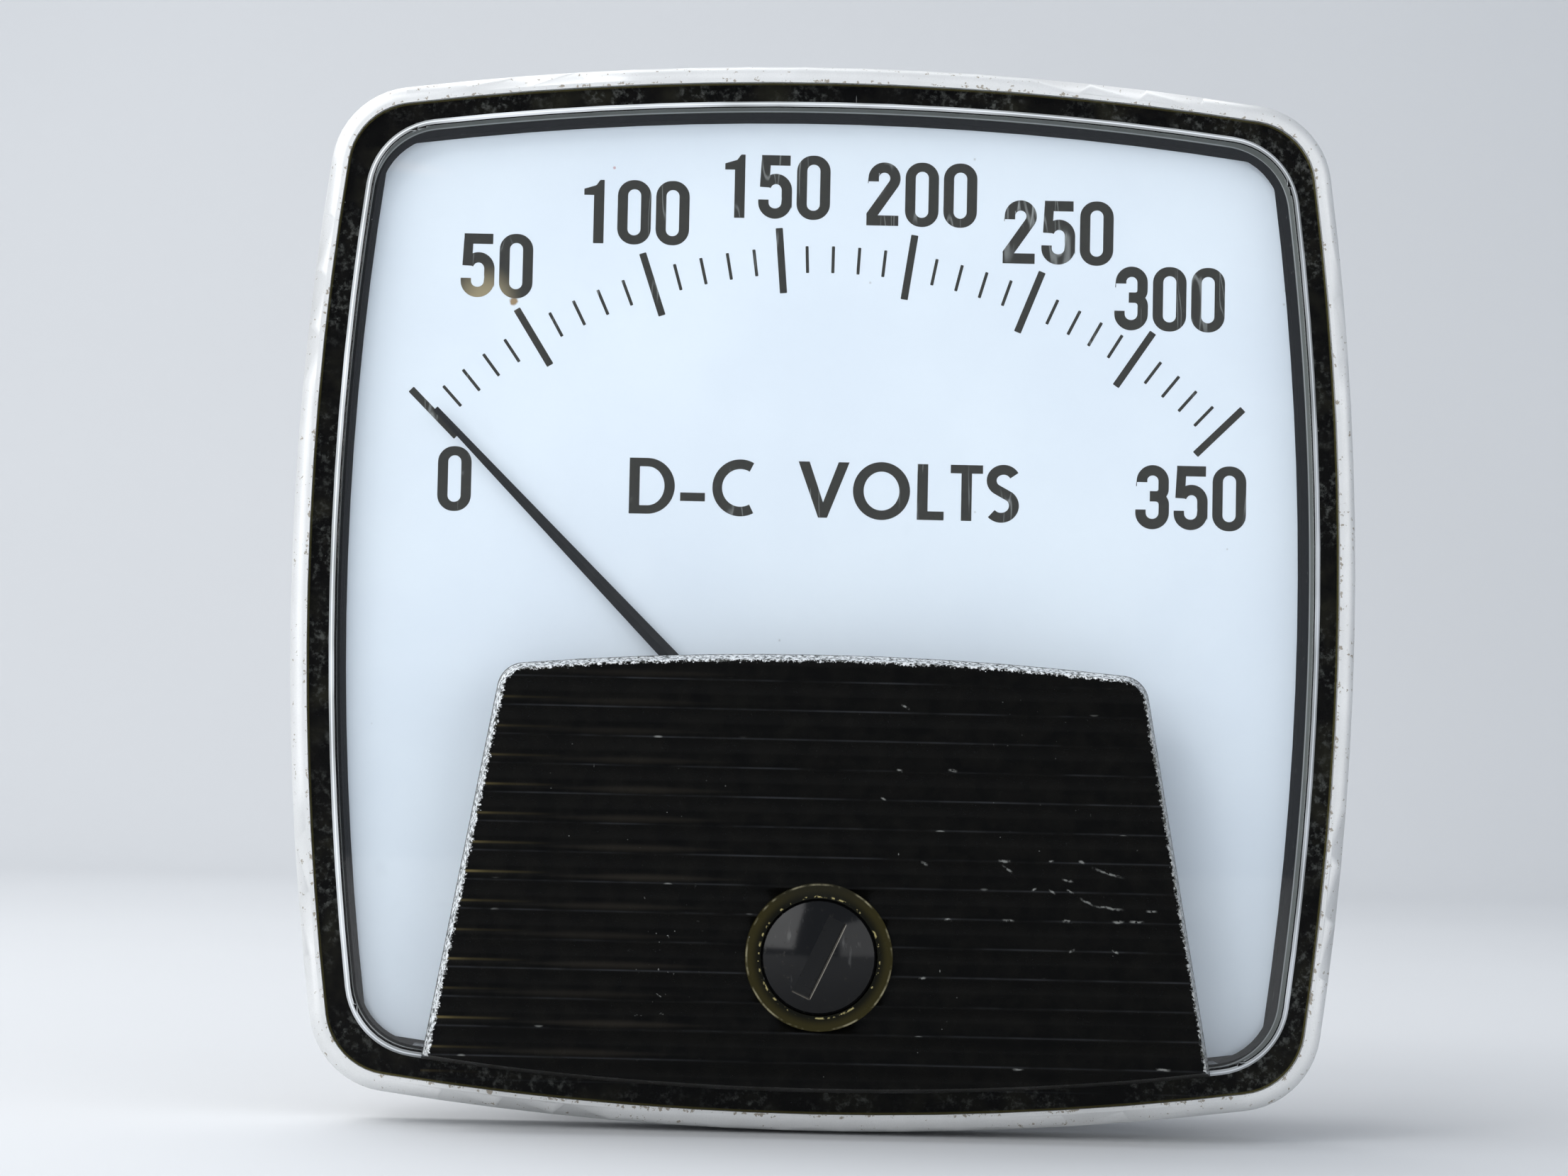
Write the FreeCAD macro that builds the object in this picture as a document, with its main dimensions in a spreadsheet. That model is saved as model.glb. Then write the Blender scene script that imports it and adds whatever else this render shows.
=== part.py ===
"""Square panel voltmeter with a moving coil movement, for a round panel cut-out.

The frame: +X to the right, +Z up, and the dial faces -Y. The origin is on the axis of the barrel,
in the plane where the flange meets the panel. A distance named forward runs from that plane
towards the reader, so forward is minus Y, and what lies behind the panel has a negative one.
"""
import FreeCAD, Part
import math
import os
from types import SimpleNamespace

import Sketcher
from FreeCAD import Placement, Rotation, Vector

# Driving dimensions in millimetres and degrees, and the count of turns in a hairspring

DIMENSIONS = {
    # the square face with bowed sides
    "face_size": 90.0,
    "face_bow": 265.0,
    "face_corner": 7.2,
    # pressed rim round the face
    "rim_front": 9.0,
    "rim_sheet": 0.7,
    "rim_lip": 1.45,
    "rim_round": 1.1,
    "rim_back": 0.2,
    "rim_hem": 1.7,
    # moulded case: flange, barrel and seats
    "flange_thick": 3.6,
    "barrel_radius": 34.5,
    "barrel_wall": 2.5,
    "barrel_depth": 26.0,
    "rear_wall": 3.0,
    "barrel_round": 1.2,
    "dial_seat": 4.8,
    "fit_gap": 0.12,
    # gasket between flange and cover
    "gasket_thick": 0.6,
    "gasket_width": 2.0,
    # clear front cover
    "band_front": 8.3,
    "band_thick": 1.8,
    "skirt_wall": 2.2,
    "window_inset": 3.5,
    "window_corner": 6.5,
    "window_front": 12.0,
    "window_thick": 1.8,
    "window_wall": 0.9,
    "window_round": 0.7,
    # fluted mask block on the cover
    "mask_front": 14.2,
    "mask_top": 5.1,
    "mask_shoulder": 6.5,
    "mask_top_half": 26.9,
    "mask_foot_half": 32.8,
    "mask_corner": 2.4,
    "mask_draft": 14.0,
    "mask_wall": 2.0,
    "flute_pitch": 2.42,
    "flute_depth": 0.42,
    "flute_land": 0.16,
    # zero adjuster in the mask
    "adjuster_margin": 11.3,
    "collar_radius": 6.1,
    "collar_front": 14.5,
    "screw_head_radius": 4.75,
    "screw_head_edge": 0.9,
    "screw_dome": 1.0,
    "screw_shank_radius": 2.5,
    "screw_groove": 0.5,
    "screw_gap": 0.1,
    "screw_slot_width": 1.6,
    "screw_slot_length": 6.9,
    "screw_slot_depth": 1.5,
    "screw_slot_lean": 25.0,
    "seal_thick": 0.4,
    "counterbore_floor": 12.9,
    "boss_radius": 5.0,
    "boss_face": 10.7,
    "clip_radius": 3.9,
    "clip_thick": 0.4,
    "clip_mouth_half": 1.6,
    "crank_throw": 1.6,
    "crank_pin_radius": 0.6,
    "crank_pin_length": 1.6,
    # dial plate
    "dial_inset": 4.6,
    "dial_corner": 3.0,
    "dial_thick": 0.8,
    "dial_notch_half": 18.6,
    "dial_notch_top": 9.6,
    "dial_notch_corner": 2.0,
    "dial_screw_margin": 4.2,
    "dial_screw_radius": 0.9,
    "dial_screw_length": 4.0,
    "hole_spare": 0.8,
    "cut_over": 1.0,
    # movement: pivot, magnet and frame
    "yoke_clear": 1.6,
    "core_radius": 6.25,
    "core_length": 11.8,
    "core_front": 3.4,
    "yoke_inner": 8.7,
    "yoke_outer": 12.0,
    "yoke_length": 11.0,
    "spacer_width": 3.6,
    "frame_plate_front": -8.0,
    "frame_plate_thick": 3.5,
    "frame_plate_radius": 12.6,
    "frame_plate_hole": 10.5,
    "frame_arm_half": 3.8,
    "frame_screw_clear": 4.8,
    "frame_screw_bite": 4.7,
    "pillar_across": 14.2,
    "pillar_radius": 1.8,
    "post_radius": 3.4,
    "bridge_back": 9.7,
    "bridge_thick": 1.0,
    "bridge_width": 5.6,
    "bridge_boss_radius": 2.4,
    "bridge_boss_length": 1.4,
    "bridge_screw_bite": 2.7,
    "rear_bridge_front": -13.6,
    "small_screw_radius": 0.9,
    "small_head_radius": 1.7,
    "small_head_height": 1.0,
    "small_slot": 0.4,
    "jewel_screw_radius": 1.4,
    "jewel_screw_length": 3.0,
    "jewel_radius": 0.7,
    "jewel_length": 0.8,
    "jewel_cup_depth": 0.48,
    "jewel_lip": 0.14,
    # moving coil, staff and pointer
    "rest_angle": -44.7,
    "coil_inner_half": 6.75,
    "former_wall": 0.3,
    "winding_depth": 0.8,
    "coil_width": 2.6,
    "coil_front": 5.5,
    "coil_length": 16.0,
    "staff_radius": 0.45,
    "staff_tip": 0.32,
    "collet_radius": 1.1,
    "hub_radius": 1.7,
    "pointer_start": 0.95,
    "pointer_length": 47.2,
    "pointer_root": 1.75,
    "pointer_tip": 0.5,
    "pointer_forward": 6.8,
    "pointer_height": 0.5,
    "pointer_sheet": 0.14,
    "cross_thick": 0.3,
    "cross_arm": 7.4,
    "cross_width": 0.7,
    "weight_radius": 0.75,
    "weight_length": 1.4,
    "weight_inset": 0.4,
    "tail_weight_radius": 1.12,
    "stop_orbit": 10.35,
    "stop_radius": 0.5,
    "stop_over": 0.8,
    "stop_low_angle": 54.5,
    "stop_high_angle": 56.5,
    # hairsprings and zero lever
    "spring_pitch": 0.72,
    "spring_strip": 0.12,
    "spring_width": 0.5,
    "spring_gap": 0.03,
    "front_spring_forward": 7.75,
    "rear_spring_forward": -12.1,
    "lever_reach": 11.8,
    "lever_back": 8.55,
    "lever_thick": 0.45,
    "lever_ring": 4.0,
    "lever_arm_width": 2.2,
    "lever_slot": 1.58,
    "lever_play": 0.06,
    "lever_prong": 0.9,
    "lever_foot": 0.4,
    "lever_throat": 3.0,
    "tab_half": 0.6,
    "anchor_thick": 1.6,
    # terminals
    "terminal_margin": 15.5,
    "terminal_rise": 10.0,
    "terminal_radius": 3.175,
    "terminal_core": 2.95,
    "thread_relief": 0.2,
    "terminal_length": 16.0,
    "thread_lead_in": 0.6,
    "terminal_head_flats": 11.0,
    "terminal_head_thick": 3.0,
    "terminal_boss_radius": 7.5,
    "terminal_boss_height": 1.5,
    "terminal_nut_flats": 11.1,
    "terminal_nut_thick": 4.0,
    "nut_chamfer": 0.5,
    "terminal_washer_radius": 6.9,
    "terminal_washer_thick": 1.0,
    "lock_washer_radius": 5.6,
    "lock_washer_thick": 1.4,
    "lock_washer_split": 0.8,
    "lug_thick": 0.6,
    "lug_length": 9.5,
    "lug_eye_wall": 2.4,
    "lug_tail_half": 2.0,
    # lead wires
    "wire_radius": 0.6,
    "wire_bend": 2.0,
    "wire_foot": 1.5,
    "wire_rise": 4.5,
    "wire_anchor_back": 1.2,
    "wire_anchor_run": 10.8,
    "wire_frame_reach": 8.2,
    "wire_frame_run": 5.0,
    # panel studs
    "stud_clear": 5.1,
    "stud_radius": 1.75,
    "stud_length": 16.0,
    "stud_lead_in": 0.5,
    "stud_press_radius": 2.0,
    "stud_neck_radius": 1.5,
    "stud_neck": 0.5,
    "stud_head_radius": 3.2,
    "stud_head_thick": 1.6,
}

SPRING_TURNS = 5


class Size:
    """A dimension that carries its value and the formula that works it out from the sheet."""

    def __init__(self, value, formula):
        self.value = value
        self.formula = formula

    def _with(self, other, value, sign):
        return Size(value, f"({self.formula} {sign} {as_size(other).formula})")

    def __add__(self, other):
        return self._with(other, self.value + as_size(other).value, "+")

    def __sub__(self, other):
        return self._with(other, self.value - as_size(other).value, "-")

    def __mul__(self, other):
        return self._with(other, self.value * as_size(other).value, "*")

    def __truediv__(self, other):
        return self._with(other, self.value / as_size(other).value, "/")

    def __radd__(self, other):
        return as_size(other) + self

    def __rsub__(self, other):
        return as_size(other) - self

    def __rmul__(self, other):
        return as_size(other) * self

    def __rtruediv__(self, other):
        return as_size(other) / self

    def __neg__(self):
        return 0 - self


def as_size(number):
    return number if isinstance(number, Size) else Size(float(number), repr(float(number)))


def root(size):
    return Size(math.sqrt(size.value), f"sqrt({size.formula})")


def lesser(first, second):
    return Size(min(first.value, second.value), f"min({first.formula}; {second.formula})")


def cosine(degrees):
    return Size(math.cos(math.radians(degrees.value)), f"cos({degrees.formula} * 1 deg)")


def sine(degrees):
    return Size(math.sin(math.radians(degrees.value)), f"sin({degrees.formula} * 1 deg)")


# The document and its sheet of sizes

doc = FreeCAD.newDocument("voltmeter")
sheet = doc.addObject("Spreadsheet::Sheet", "sizes")
for row, (alias, number) in enumerate(DIMENSIONS.items(), start=1):
    sheet.set(f"A{row}", alias)
    sheet.set(f"B{row}", str(number))
    sheet.setAlias(f"B{row}", alias)
doc.recompute()
d = SimpleNamespace(**{name: Size(float(sheet.get(name)), f"sizes.{name}") for name in DIMENSIONS})

# Places that follow from the face and the barrel

d.adjuster_drop = d.face_size / 2 - d.window_inset - d.adjuster_margin
barrel_limit = d.barrel_radius - d.barrel_wall - d.yoke_outer - d.yoke_clear
d.pivot_drop = lesser(barrel_limit, d.adjuster_drop - d.lever_reach)
frame_screw_orbit = d.barrel_radius - d.barrel_wall - d.frame_screw_clear
d.frame_screw_across = root(frame_screw_orbit * frame_screw_orbit - d.pivot_drop * d.pivot_drop)
dial_screw_orbit = d.barrel_radius - d.barrel_wall / 2
d.dial_screw_across = d.dial_notch_half + d.dial_screw_margin
d.dial_screw_drop = root(dial_screw_orbit * dial_screw_orbit - d.dial_screw_across * d.dial_screw_across)
d.terminal_across = d.barrel_radius - d.terminal_margin
d.stud_across = (d.barrel_radius + d.stud_clear) / math.sqrt(2)

PARTS = []


def finished(piece, label):
    """Give a finished sub-part the name that its file takes."""
    piece.Label = label
    PARTS.append(piece)
    return piece


# Sketches and the features made from them

FRONT, SIDE, LEVEL = "XZ_Plane", "YZ_Plane", "XY_Plane"


def new_body(name):
    return doc.addObject("PartDesign::Body", name + "_body")


def bind(target, path, size):
    if isinstance(size, Size):
        target.setExpression(path, size.formula)


def sketch_on(body, plane, shift=0.0, across=0.0, up=0.0):
    """A sketch on one of the body's planes, moved along the plane's normal and within it."""
    sketch = body.newObject("Sketcher::SketchObject", "Sketch")
    support = [part for part in body.Origin.OriginFeatures if part.Role == plane][0]
    sketch.AttachmentSupport = [(support, "")]
    sketch.MapMode = "FlatFace"
    base = Vector(as_size(across).value, as_size(up).value, as_size(shift).value)
    sketch.AttachmentOffset = Placement(base, Rotation())
    bind(sketch, ".AttachmentOffset.Base.x", across)
    bind(sketch, ".AttachmentOffset.Base.y", up)
    bind(sketch, ".AttachmentOffset.Base.z", shift)
    return sketch


def constrain(sketch, kind, *where, size=None):
    """Add a constraint, and bind its value to the sheet if it has one."""
    if size is None:
        sketch.addConstraint(Sketcher.Constraint(kind, *where))
        return
    index = sketch.addConstraint(Sketcher.Constraint(kind, *where, as_size(size).value))
    bind(sketch, f"Constraints[{index}]", size)


def locate(sketch, geometry, point, across, up):
    """Fix a point of the sketch at its distances from the sketch's origin."""
    constrain(sketch, "DistanceX", -1, 1, geometry, point, size=across)
    constrain(sketch, "DistanceY", -1, 1, geometry, point, size=up)


def flat(across, up):
    return Vector(as_size(across).value, as_size(up).value, 0)


def polygon(sketch, corners):
    """A closed outline of straight lines, each corner located from the sheet."""
    places = [flat(*corner) for corner in corners]
    first = sketch.GeometryCount
    for start, end in zip(places, places[1:] + places[:1]):
        sketch.addGeometry(Part.LineSegment(start, end), False)
    count = len(corners)
    for index, corner in enumerate(corners):
        constrain(sketch, "Coincident", first + (index - 1) % count, 2, first + index, 1)
        locate(sketch, first + index, 1, *corner)
    return sketch


def circle(sketch, across, up, radius):
    shape = Part.Circle(flat(across, up), Vector(0, 0, 1), as_size(radius).value)
    index = sketch.addGeometry(shape, False)
    constrain(sketch, "Radius", index, size=radius)
    locate(sketch, index, 3, across, up)
    return sketch


def bowed_square(sketch, half, bow, corner):
    """A square whose four sides are shallow arcs, joined by round corners."""
    reach = (bow - half).value
    gap = (bow - corner).value
    middle = (-2 * reach + math.sqrt(4 * reach**2 - 8 * (reach**2 - gap**2))) / 4
    lean = math.degrees(math.atan2(middle, middle + reach))
    for quarter in range(4):
        turn = 90 * quarter
        spin = Rotation(Vector(0, 0, 1), turn)
        side_centre = spin.multVec(Vector(-reach, 0, 0))
        side = Part.Circle(side_centre, Vector(0, 0, 1), bow.value)
        start, end = math.radians(turn - lean), math.radians(turn + lean)
        sketch.addGeometry(Part.ArcOfCircle(side, start, end), False)
        corner_centre = spin.multVec(Vector(middle, middle, 0))
        round_corner = Part.Circle(corner_centre, Vector(0, 0, 1), corner.value)
        start, end = math.radians(turn + lean), math.radians(turn + 90 - lean)
        sketch.addGeometry(Part.ArcOfCircle(round_corner, start, end), False)
    for index in range(8):
        constrain(sketch, "Tangent", index, 2, (index + 1) % 8, 1)
    constrain(sketch, "Radius", 0, size=bow)
    constrain(sketch, "Radius", 1, size=corner)
    for index in (2, 4, 6):
        constrain(sketch, "Equal", 0, index)
        constrain(sketch, "Equal", 1, index + 1)
    locate(sketch, 0, 3, half - bow, 0)
    locate(sketch, 2, 3, 0, half - bow)
    locate(sketch, 4, 3, bow - half, 0)
    locate(sketch, 6, 3, 0, bow - half)
    return sketch


def face_outline(sketch, inset, corner=None):
    """The bowed square of the face, drawn in by a distance, with its own corner if given."""
    if corner is None:
        corner = d.face_corner - inset
    return bowed_square(sketch, d.face_size / 2 - inset, d.face_bow - inset, corner)


def pad(body, sketch, length, backward=False):
    """Raise a sketch along its normal. On the front plane that is towards the reader."""
    feature = body.newObject("PartDesign::Pad", "Pad")
    feature.Profile = sketch
    feature.Length = as_size(length).value
    bind(feature, "Length", length)
    feature.Reversed = backward
    sketch.Visibility = False
    return feature


def pocket(body, sketch, length, forward=False):
    """Cut a sketch into the solid. On the front plane that is away from the reader."""
    feature = body.newObject("PartDesign::Pocket", "Pocket")
    feature.Profile = sketch
    feature.Length = as_size(length).value
    bind(feature, "Length", length)
    feature.Reversed = forward
    return feature


def turned(body, across, up, profile):
    """A round solid about an axis along Y, from corners of forward distance and radius."""
    sketch = sketch_on(body, SIDE, shift=across, up=up)
    polygon(sketch, [(0 - as_size(forward), radius) for forward, radius in profile])
    feature = body.newObject("PartDesign::Revolution", "Revolution")
    feature.Profile = sketch
    feature.ReferenceAxis = (sketch, ["H_Axis"])
    feature.Angle = 360
    return feature


def rod(back, front, radius):
    """Corners of a plain turned rod."""
    return [(back, 0), (front, 0), (front, radius), (back, radius)]


def tube(back, front, inner, outer):
    """Corners of a turned tube or washer."""
    return [(back, inner), (front, inner), (front, outer), (back, outer)]


def edges_at(feature, test):
    """The names of a feature's edges whose middle point passes a test."""
    doc.recompute()
    names = []
    for number, edge in enumerate(feature.Shape.Edges, start=1):
        middle = edge.valueAt((edge.FirstParameter + edge.LastParameter) / 2)
        if test(edge, middle):
            names.append(f"Edge{number}")
    return names


def rounded(body, feature, radius, test):
    """Round the edges of the last feature that pass a test."""
    names = edges_at(feature, test)
    fillet = body.newObject("PartDesign::Fillet", "Fillet")
    fillet.Base = (feature, names)
    fillet.Radius = as_size(radius).value
    bind(fillet, "Radius", radius)
    return fillet


def level_with(forward):
    """A test for edges that lie in the plane at a forward distance."""
    plane = as_size(forward).value

    def test(edge, middle):
        ends = [vertex.Point.y for vertex in edge.Vertexes] + [middle.y]
        return all(abs(y + plane) < 1e-4 for y in ends)

    return test


def mirrored_pair(label, source):
    """The source and its mirror image across the upright middle plane, as one group."""
    twin = doc.addObject("Part::Mirroring", label + "_twin")
    twin.Source = source
    twin.Base = Vector(0, 0, 0)
    twin.Normal = Vector(1, 0, 0)
    group = doc.addObject("Part::Compound", label + "_pair")
    group.Links = [source, twin]
    return finished(group, label)


def hexagon(sketch, across, up, flats):
    """A hexagon with two flats upright, from the distance across its flats."""
    half = as_size(flats) / 2
    point = as_size(flats) / math.sqrt(3)
    across, up = as_size(across), as_size(up)
    corners = [(across + half, up - point / 2), (across + half, up + point / 2), (across, up + point),
               (across - half, up + point / 2), (across - half, up - point / 2), (across, up - point)]
    return polygon(sketch, corners)


def rectangle(sketch, left, right, bottom, top):
    return polygon(sketch, [(left, bottom), (right, bottom), (right, top), (left, top)])


# Heights that several pieces share

cavity_floor = d.rear_wall - d.barrel_depth
frame_plate_back = d.frame_plate_front - d.frame_plate_thick
gasket_front = d.flange_thick + d.gasket_thick
window_inside = d.window_front - d.window_thick
band_inside = d.band_front - d.band_thick
dial_front = d.dial_seat + d.dial_thick
rim_inside = d.rim_sheet
flange_inset = d.rim_sheet + d.fit_gap
skirt_inset = flange_inset + d.skirt_wall
bridge_front = d.bridge_back + d.bridge_thick
rear_bridge_back = d.rear_bridge_front - d.bridge_thick
yoke_front = d.frame_plate_front + d.yoke_length
pivot = -d.pivot_drop


# Case: flange, barrel, posts for the movement and holes for studs, in one moulding

def make_case():
    body = new_body("case")
    step = d.rim_back + d.rim_sheet
    pad(body, face_outline(sketch_on(body, FRONT), d.rim_hem + d.fit_gap), d.flange_thick)
    pad(body, face_outline(sketch_on(body, FRONT, shift=step + d.fit_gap), flange_inset),
        d.flange_thick - step - d.fit_gap)
    barrel = pad(body, circle(sketch_on(body, FRONT), 0, 0, d.barrel_radius), d.barrel_depth, backward=True)
    rounded(body, barrel, d.barrel_round, level_with(-d.barrel_depth))
    pad(body, circle(sketch_on(body, FRONT), 0, 0, d.barrel_radius), d.dial_seat)
    bore = circle(sketch_on(body, FRONT, shift=d.dial_seat), 0, 0, d.barrel_radius - d.barrel_wall)
    pocket(body, bore, d.dial_seat - cavity_floor)

    posts = sketch_on(body, FRONT, shift=cavity_floor)
    for side in (-1, 1):
        circle(posts, side * d.frame_screw_across, pivot, d.post_radius)
    pad(body, posts, frame_plate_back - cavity_floor)
    pilots = sketch_on(body, FRONT, shift=frame_plate_back)
    for side in (-1, 1):
        circle(pilots, side * d.frame_screw_across, pivot, d.small_screw_radius)
    pocket(body, pilots, d.frame_screw_bite + d.hole_spare)

    bosses = sketch_on(body, FRONT, shift=-d.barrel_depth)
    for side in (-1, 1):
        circle(bosses, side * d.terminal_across, d.terminal_rise, d.terminal_boss_radius)
    pad(body, bosses, d.terminal_boss_height, backward=True)
    holes = sketch_on(body, FRONT, shift=cavity_floor)
    for side in (-1, 1):
        circle(holes, side * d.terminal_across, d.terminal_rise, d.terminal_radius)
    pocket(body, holes, d.rear_wall + d.terminal_boss_height)

    stud_heads = sketch_on(body, FRONT, shift=d.flange_thick)
    stud_holes = sketch_on(body, FRONT, shift=d.flange_thick)
    for across in (-1, 1):
        for up in (-1, 1):
            circle(stud_heads, across * d.stud_across, up * d.stud_across, d.stud_head_radius)
            circle(stud_holes, across * d.stud_across, up * d.stud_across, d.stud_press_radius)
    pocket(body, stud_heads, d.stud_head_thick)
    pocket(body, stud_holes, d.flange_thick)

    dial_holes = sketch_on(body, FRONT, shift=d.dial_seat)
    for side in (-1, 1):
        circle(dial_holes, side * d.dial_screw_across, -d.dial_screw_drop, d.dial_screw_radius)
    pocket(body, dial_holes, d.dial_screw_length - d.dial_thick + d.hole_spare)
    return finished(body, "case")


# Bezel rim: pressed ring with a rounded front edge, rolled in behind the flange

def make_bezel_rim():
    body = new_body("bezel_rim")
    ring = pad(body, face_outline(sketch_on(body, FRONT, shift=d.rim_back), 0), d.rim_front - d.rim_back)
    rounded(body, ring, d.rim_round, level_with(d.rim_front))
    mouth = face_outline(sketch_on(body, FRONT, shift=d.rim_front), d.rim_lip)
    pocket(body, mouth, d.rim_front - d.rim_back - d.rim_sheet)
    inside = face_outline(sketch_on(body, FRONT, shift=d.band_front), rim_inside)
    pocket(body, inside, d.band_front - d.rim_back - d.rim_sheet)
    hem = face_outline(sketch_on(body, FRONT, shift=d.rim_back + d.rim_sheet), d.rim_hem)
    pocket(body, hem, d.rim_sheet)
    return finished(body, "bezel_rim")


def make_cover_gasket():
    body = new_body("cover_gasket")
    outer = face_outline(sketch_on(body, FRONT, shift=d.flange_thick), flange_inset)
    pad(body, outer, d.gasket_thick)
    inner = face_outline(sketch_on(body, FRONT, shift=gasket_front), flange_inset + d.gasket_width)
    pocket(body, inner, d.gasket_thick)
    return finished(body, "cover_gasket")


# Front cover: band, raised window, fluted mask and adjuster collar in one clear moulding

def mask_outline(sketch, draw_in=0):
    """The mask's outline: bowed top, slanting sides and a foot that follows the window."""
    window_half = d.face_size / 2 - d.window_inset
    window_bow = d.face_bow - d.window_inset
    top_half = d.mask_top_half - draw_in
    foot_half = d.mask_foot_half - draw_in
    shoulder = -d.mask_shoulder - draw_in
    top_bow = d.face_bow
    foot_bow = window_bow - draw_in
    foot = window_bow - window_half - root(foot_bow * foot_bow - foot_half * foot_half)
    corners = [(-foot_half, foot), (foot_half, foot), (top_half, shoulder), (-top_half, shoulder)]
    places = [flat(*corner) for corner in corners]
    foot_centre = Vector(0, (window_bow - window_half).value, 0)
    sag = (top_bow - root(top_bow * top_bow - top_half * top_half)).value
    top_centre = Vector(0, shoulder.value + sag - top_bow.value, 0)
    sketch.addGeometry(arc_between(foot_centre, foot_bow.value, places[0], places[1]), False)
    sketch.addGeometry(Part.LineSegment(places[1], places[2]), False)
    sketch.addGeometry(arc_between(top_centre, top_bow.value, places[2], places[3]), False)
    sketch.addGeometry(Part.LineSegment(places[3], places[0]), False)
    for index in range(4):
        constrain(sketch, "Coincident", index, 2, (index + 1) % 4, 1)
        locate(sketch, index, 1, *corners[index])
    constrain(sketch, "Radius", 0, size=foot_bow)
    constrain(sketch, "Radius", 2, size=top_bow)
    return sketch


def arc_between(centre, radius, start, end):
    """The arc that runs anticlockwise about its centre from one point to another."""
    first = math.atan2(start.y - centre.y, start.x - centre.x)
    last = math.atan2(end.y - centre.y, end.x - centre.x)
    return Part.ArcOfCircle(Part.Circle(centre, Vector(0, 0, 1), radius), first, last)


def make_front_cover():
    body = new_body("front_cover")
    pad(body, face_outline(sketch_on(body, FRONT, shift=gasket_front), flange_inset),
        d.band_front - gasket_front)
    window = face_outline(sketch_on(body, FRONT, shift=band_inside), d.window_inset, d.window_corner)
    raised = pad(body, window, d.window_front - band_inside)
    rounded(body, raised, d.window_round, level_with(d.window_front))
    pad(body, mask_outline(sketch_on(body, FRONT, shift=d.band_front)), d.window_front - d.band_front)
    block = pad(body, mask_outline(sketch_on(body, FRONT, shift=d.window_front)),
                d.mask_front - d.window_front)
    block.TaperAngle = -d.mask_draft.value
    bind(block, "TaperAngle", -d.mask_draft)

    def at_shoulder(edge, middle):
        near = abs(abs(middle.x) - d.mask_top_half.value) < 1 and abs(middle.z + d.mask_shoulder.value) < 1
        return near and -d.mask_front.value < middle.y < -d.window_front.value

    rounded(body, block, d.mask_corner, at_shoulder)

    flute_half = (d.flute_pitch - d.flute_land) / 2
    flute_radius = (flute_half * flute_half + d.flute_depth * d.flute_depth) / (2 * d.flute_depth)
    cutter = sketch_on(body, SIDE, shift=-d.face_size / 2)
    circle(cutter, d.flute_depth - d.mask_front - flute_radius, -d.mask_top - d.flute_pitch / 2, flute_radius)
    flute = pocket(body, cutter, d.face_size, forward=True)
    flutes = body.newObject("PartDesign::LinearPattern", "Flutes")
    flutes.Originals = [flute]
    flutes.Direction = (cutter, ["V_Axis"])
    flutes.Reversed = True
    count = int((d.face_size / 2 - d.window_inset - d.mask_top).value / d.flute_pitch.value + 0.5)
    flutes.Occurrences = count
    flutes.Length = (count - 1) * d.flute_pitch.value
    bind(flutes, "Length", (count - 1) * d.flute_pitch)
    body.Tip = flutes

    collar = circle(sketch_on(body, FRONT, shift=d.window_front), 0, -d.adjuster_drop, d.collar_radius)
    pad(body, collar, d.collar_front - d.window_front)
    hollow = face_outline(sketch_on(body, FRONT, shift=gasket_front), skirt_inset)
    pocket(body, hollow, band_inside - gasket_front, forward=True)
    room = face_outline(sketch_on(body, FRONT, shift=band_inside), d.window_inset + d.window_wall,
                        d.window_corner - d.window_wall)
    pocket(body, room, window_inside - band_inside, forward=True)
    recess = mask_outline(sketch_on(body, FRONT, shift=window_inside), d.mask_wall)
    pocket(body, recess, d.mask_front - d.mask_wall - window_inside, forward=True)
    boss = circle(sketch_on(body, FRONT, shift=d.boss_face), 0, -d.adjuster_drop, d.boss_radius)
    pad(body, boss, d.counterbore_floor - d.boss_face)
    counterbore = circle(sketch_on(body, FRONT, shift=d.collar_front), 0, -d.adjuster_drop,
                         d.screw_head_radius + d.screw_gap)
    pocket(body, counterbore, d.collar_front - d.counterbore_floor)
    hole = circle(sketch_on(body, FRONT, shift=d.counterbore_floor), 0, -d.adjuster_drop,
                  d.screw_shank_radius + d.screw_gap)
    pocket(body, hole, d.counterbore_floor - d.boss_face)
    return finished(body, "front_cover")


# Zero adjuster: slotted screw with a crank pin, its seal and its clip

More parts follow.
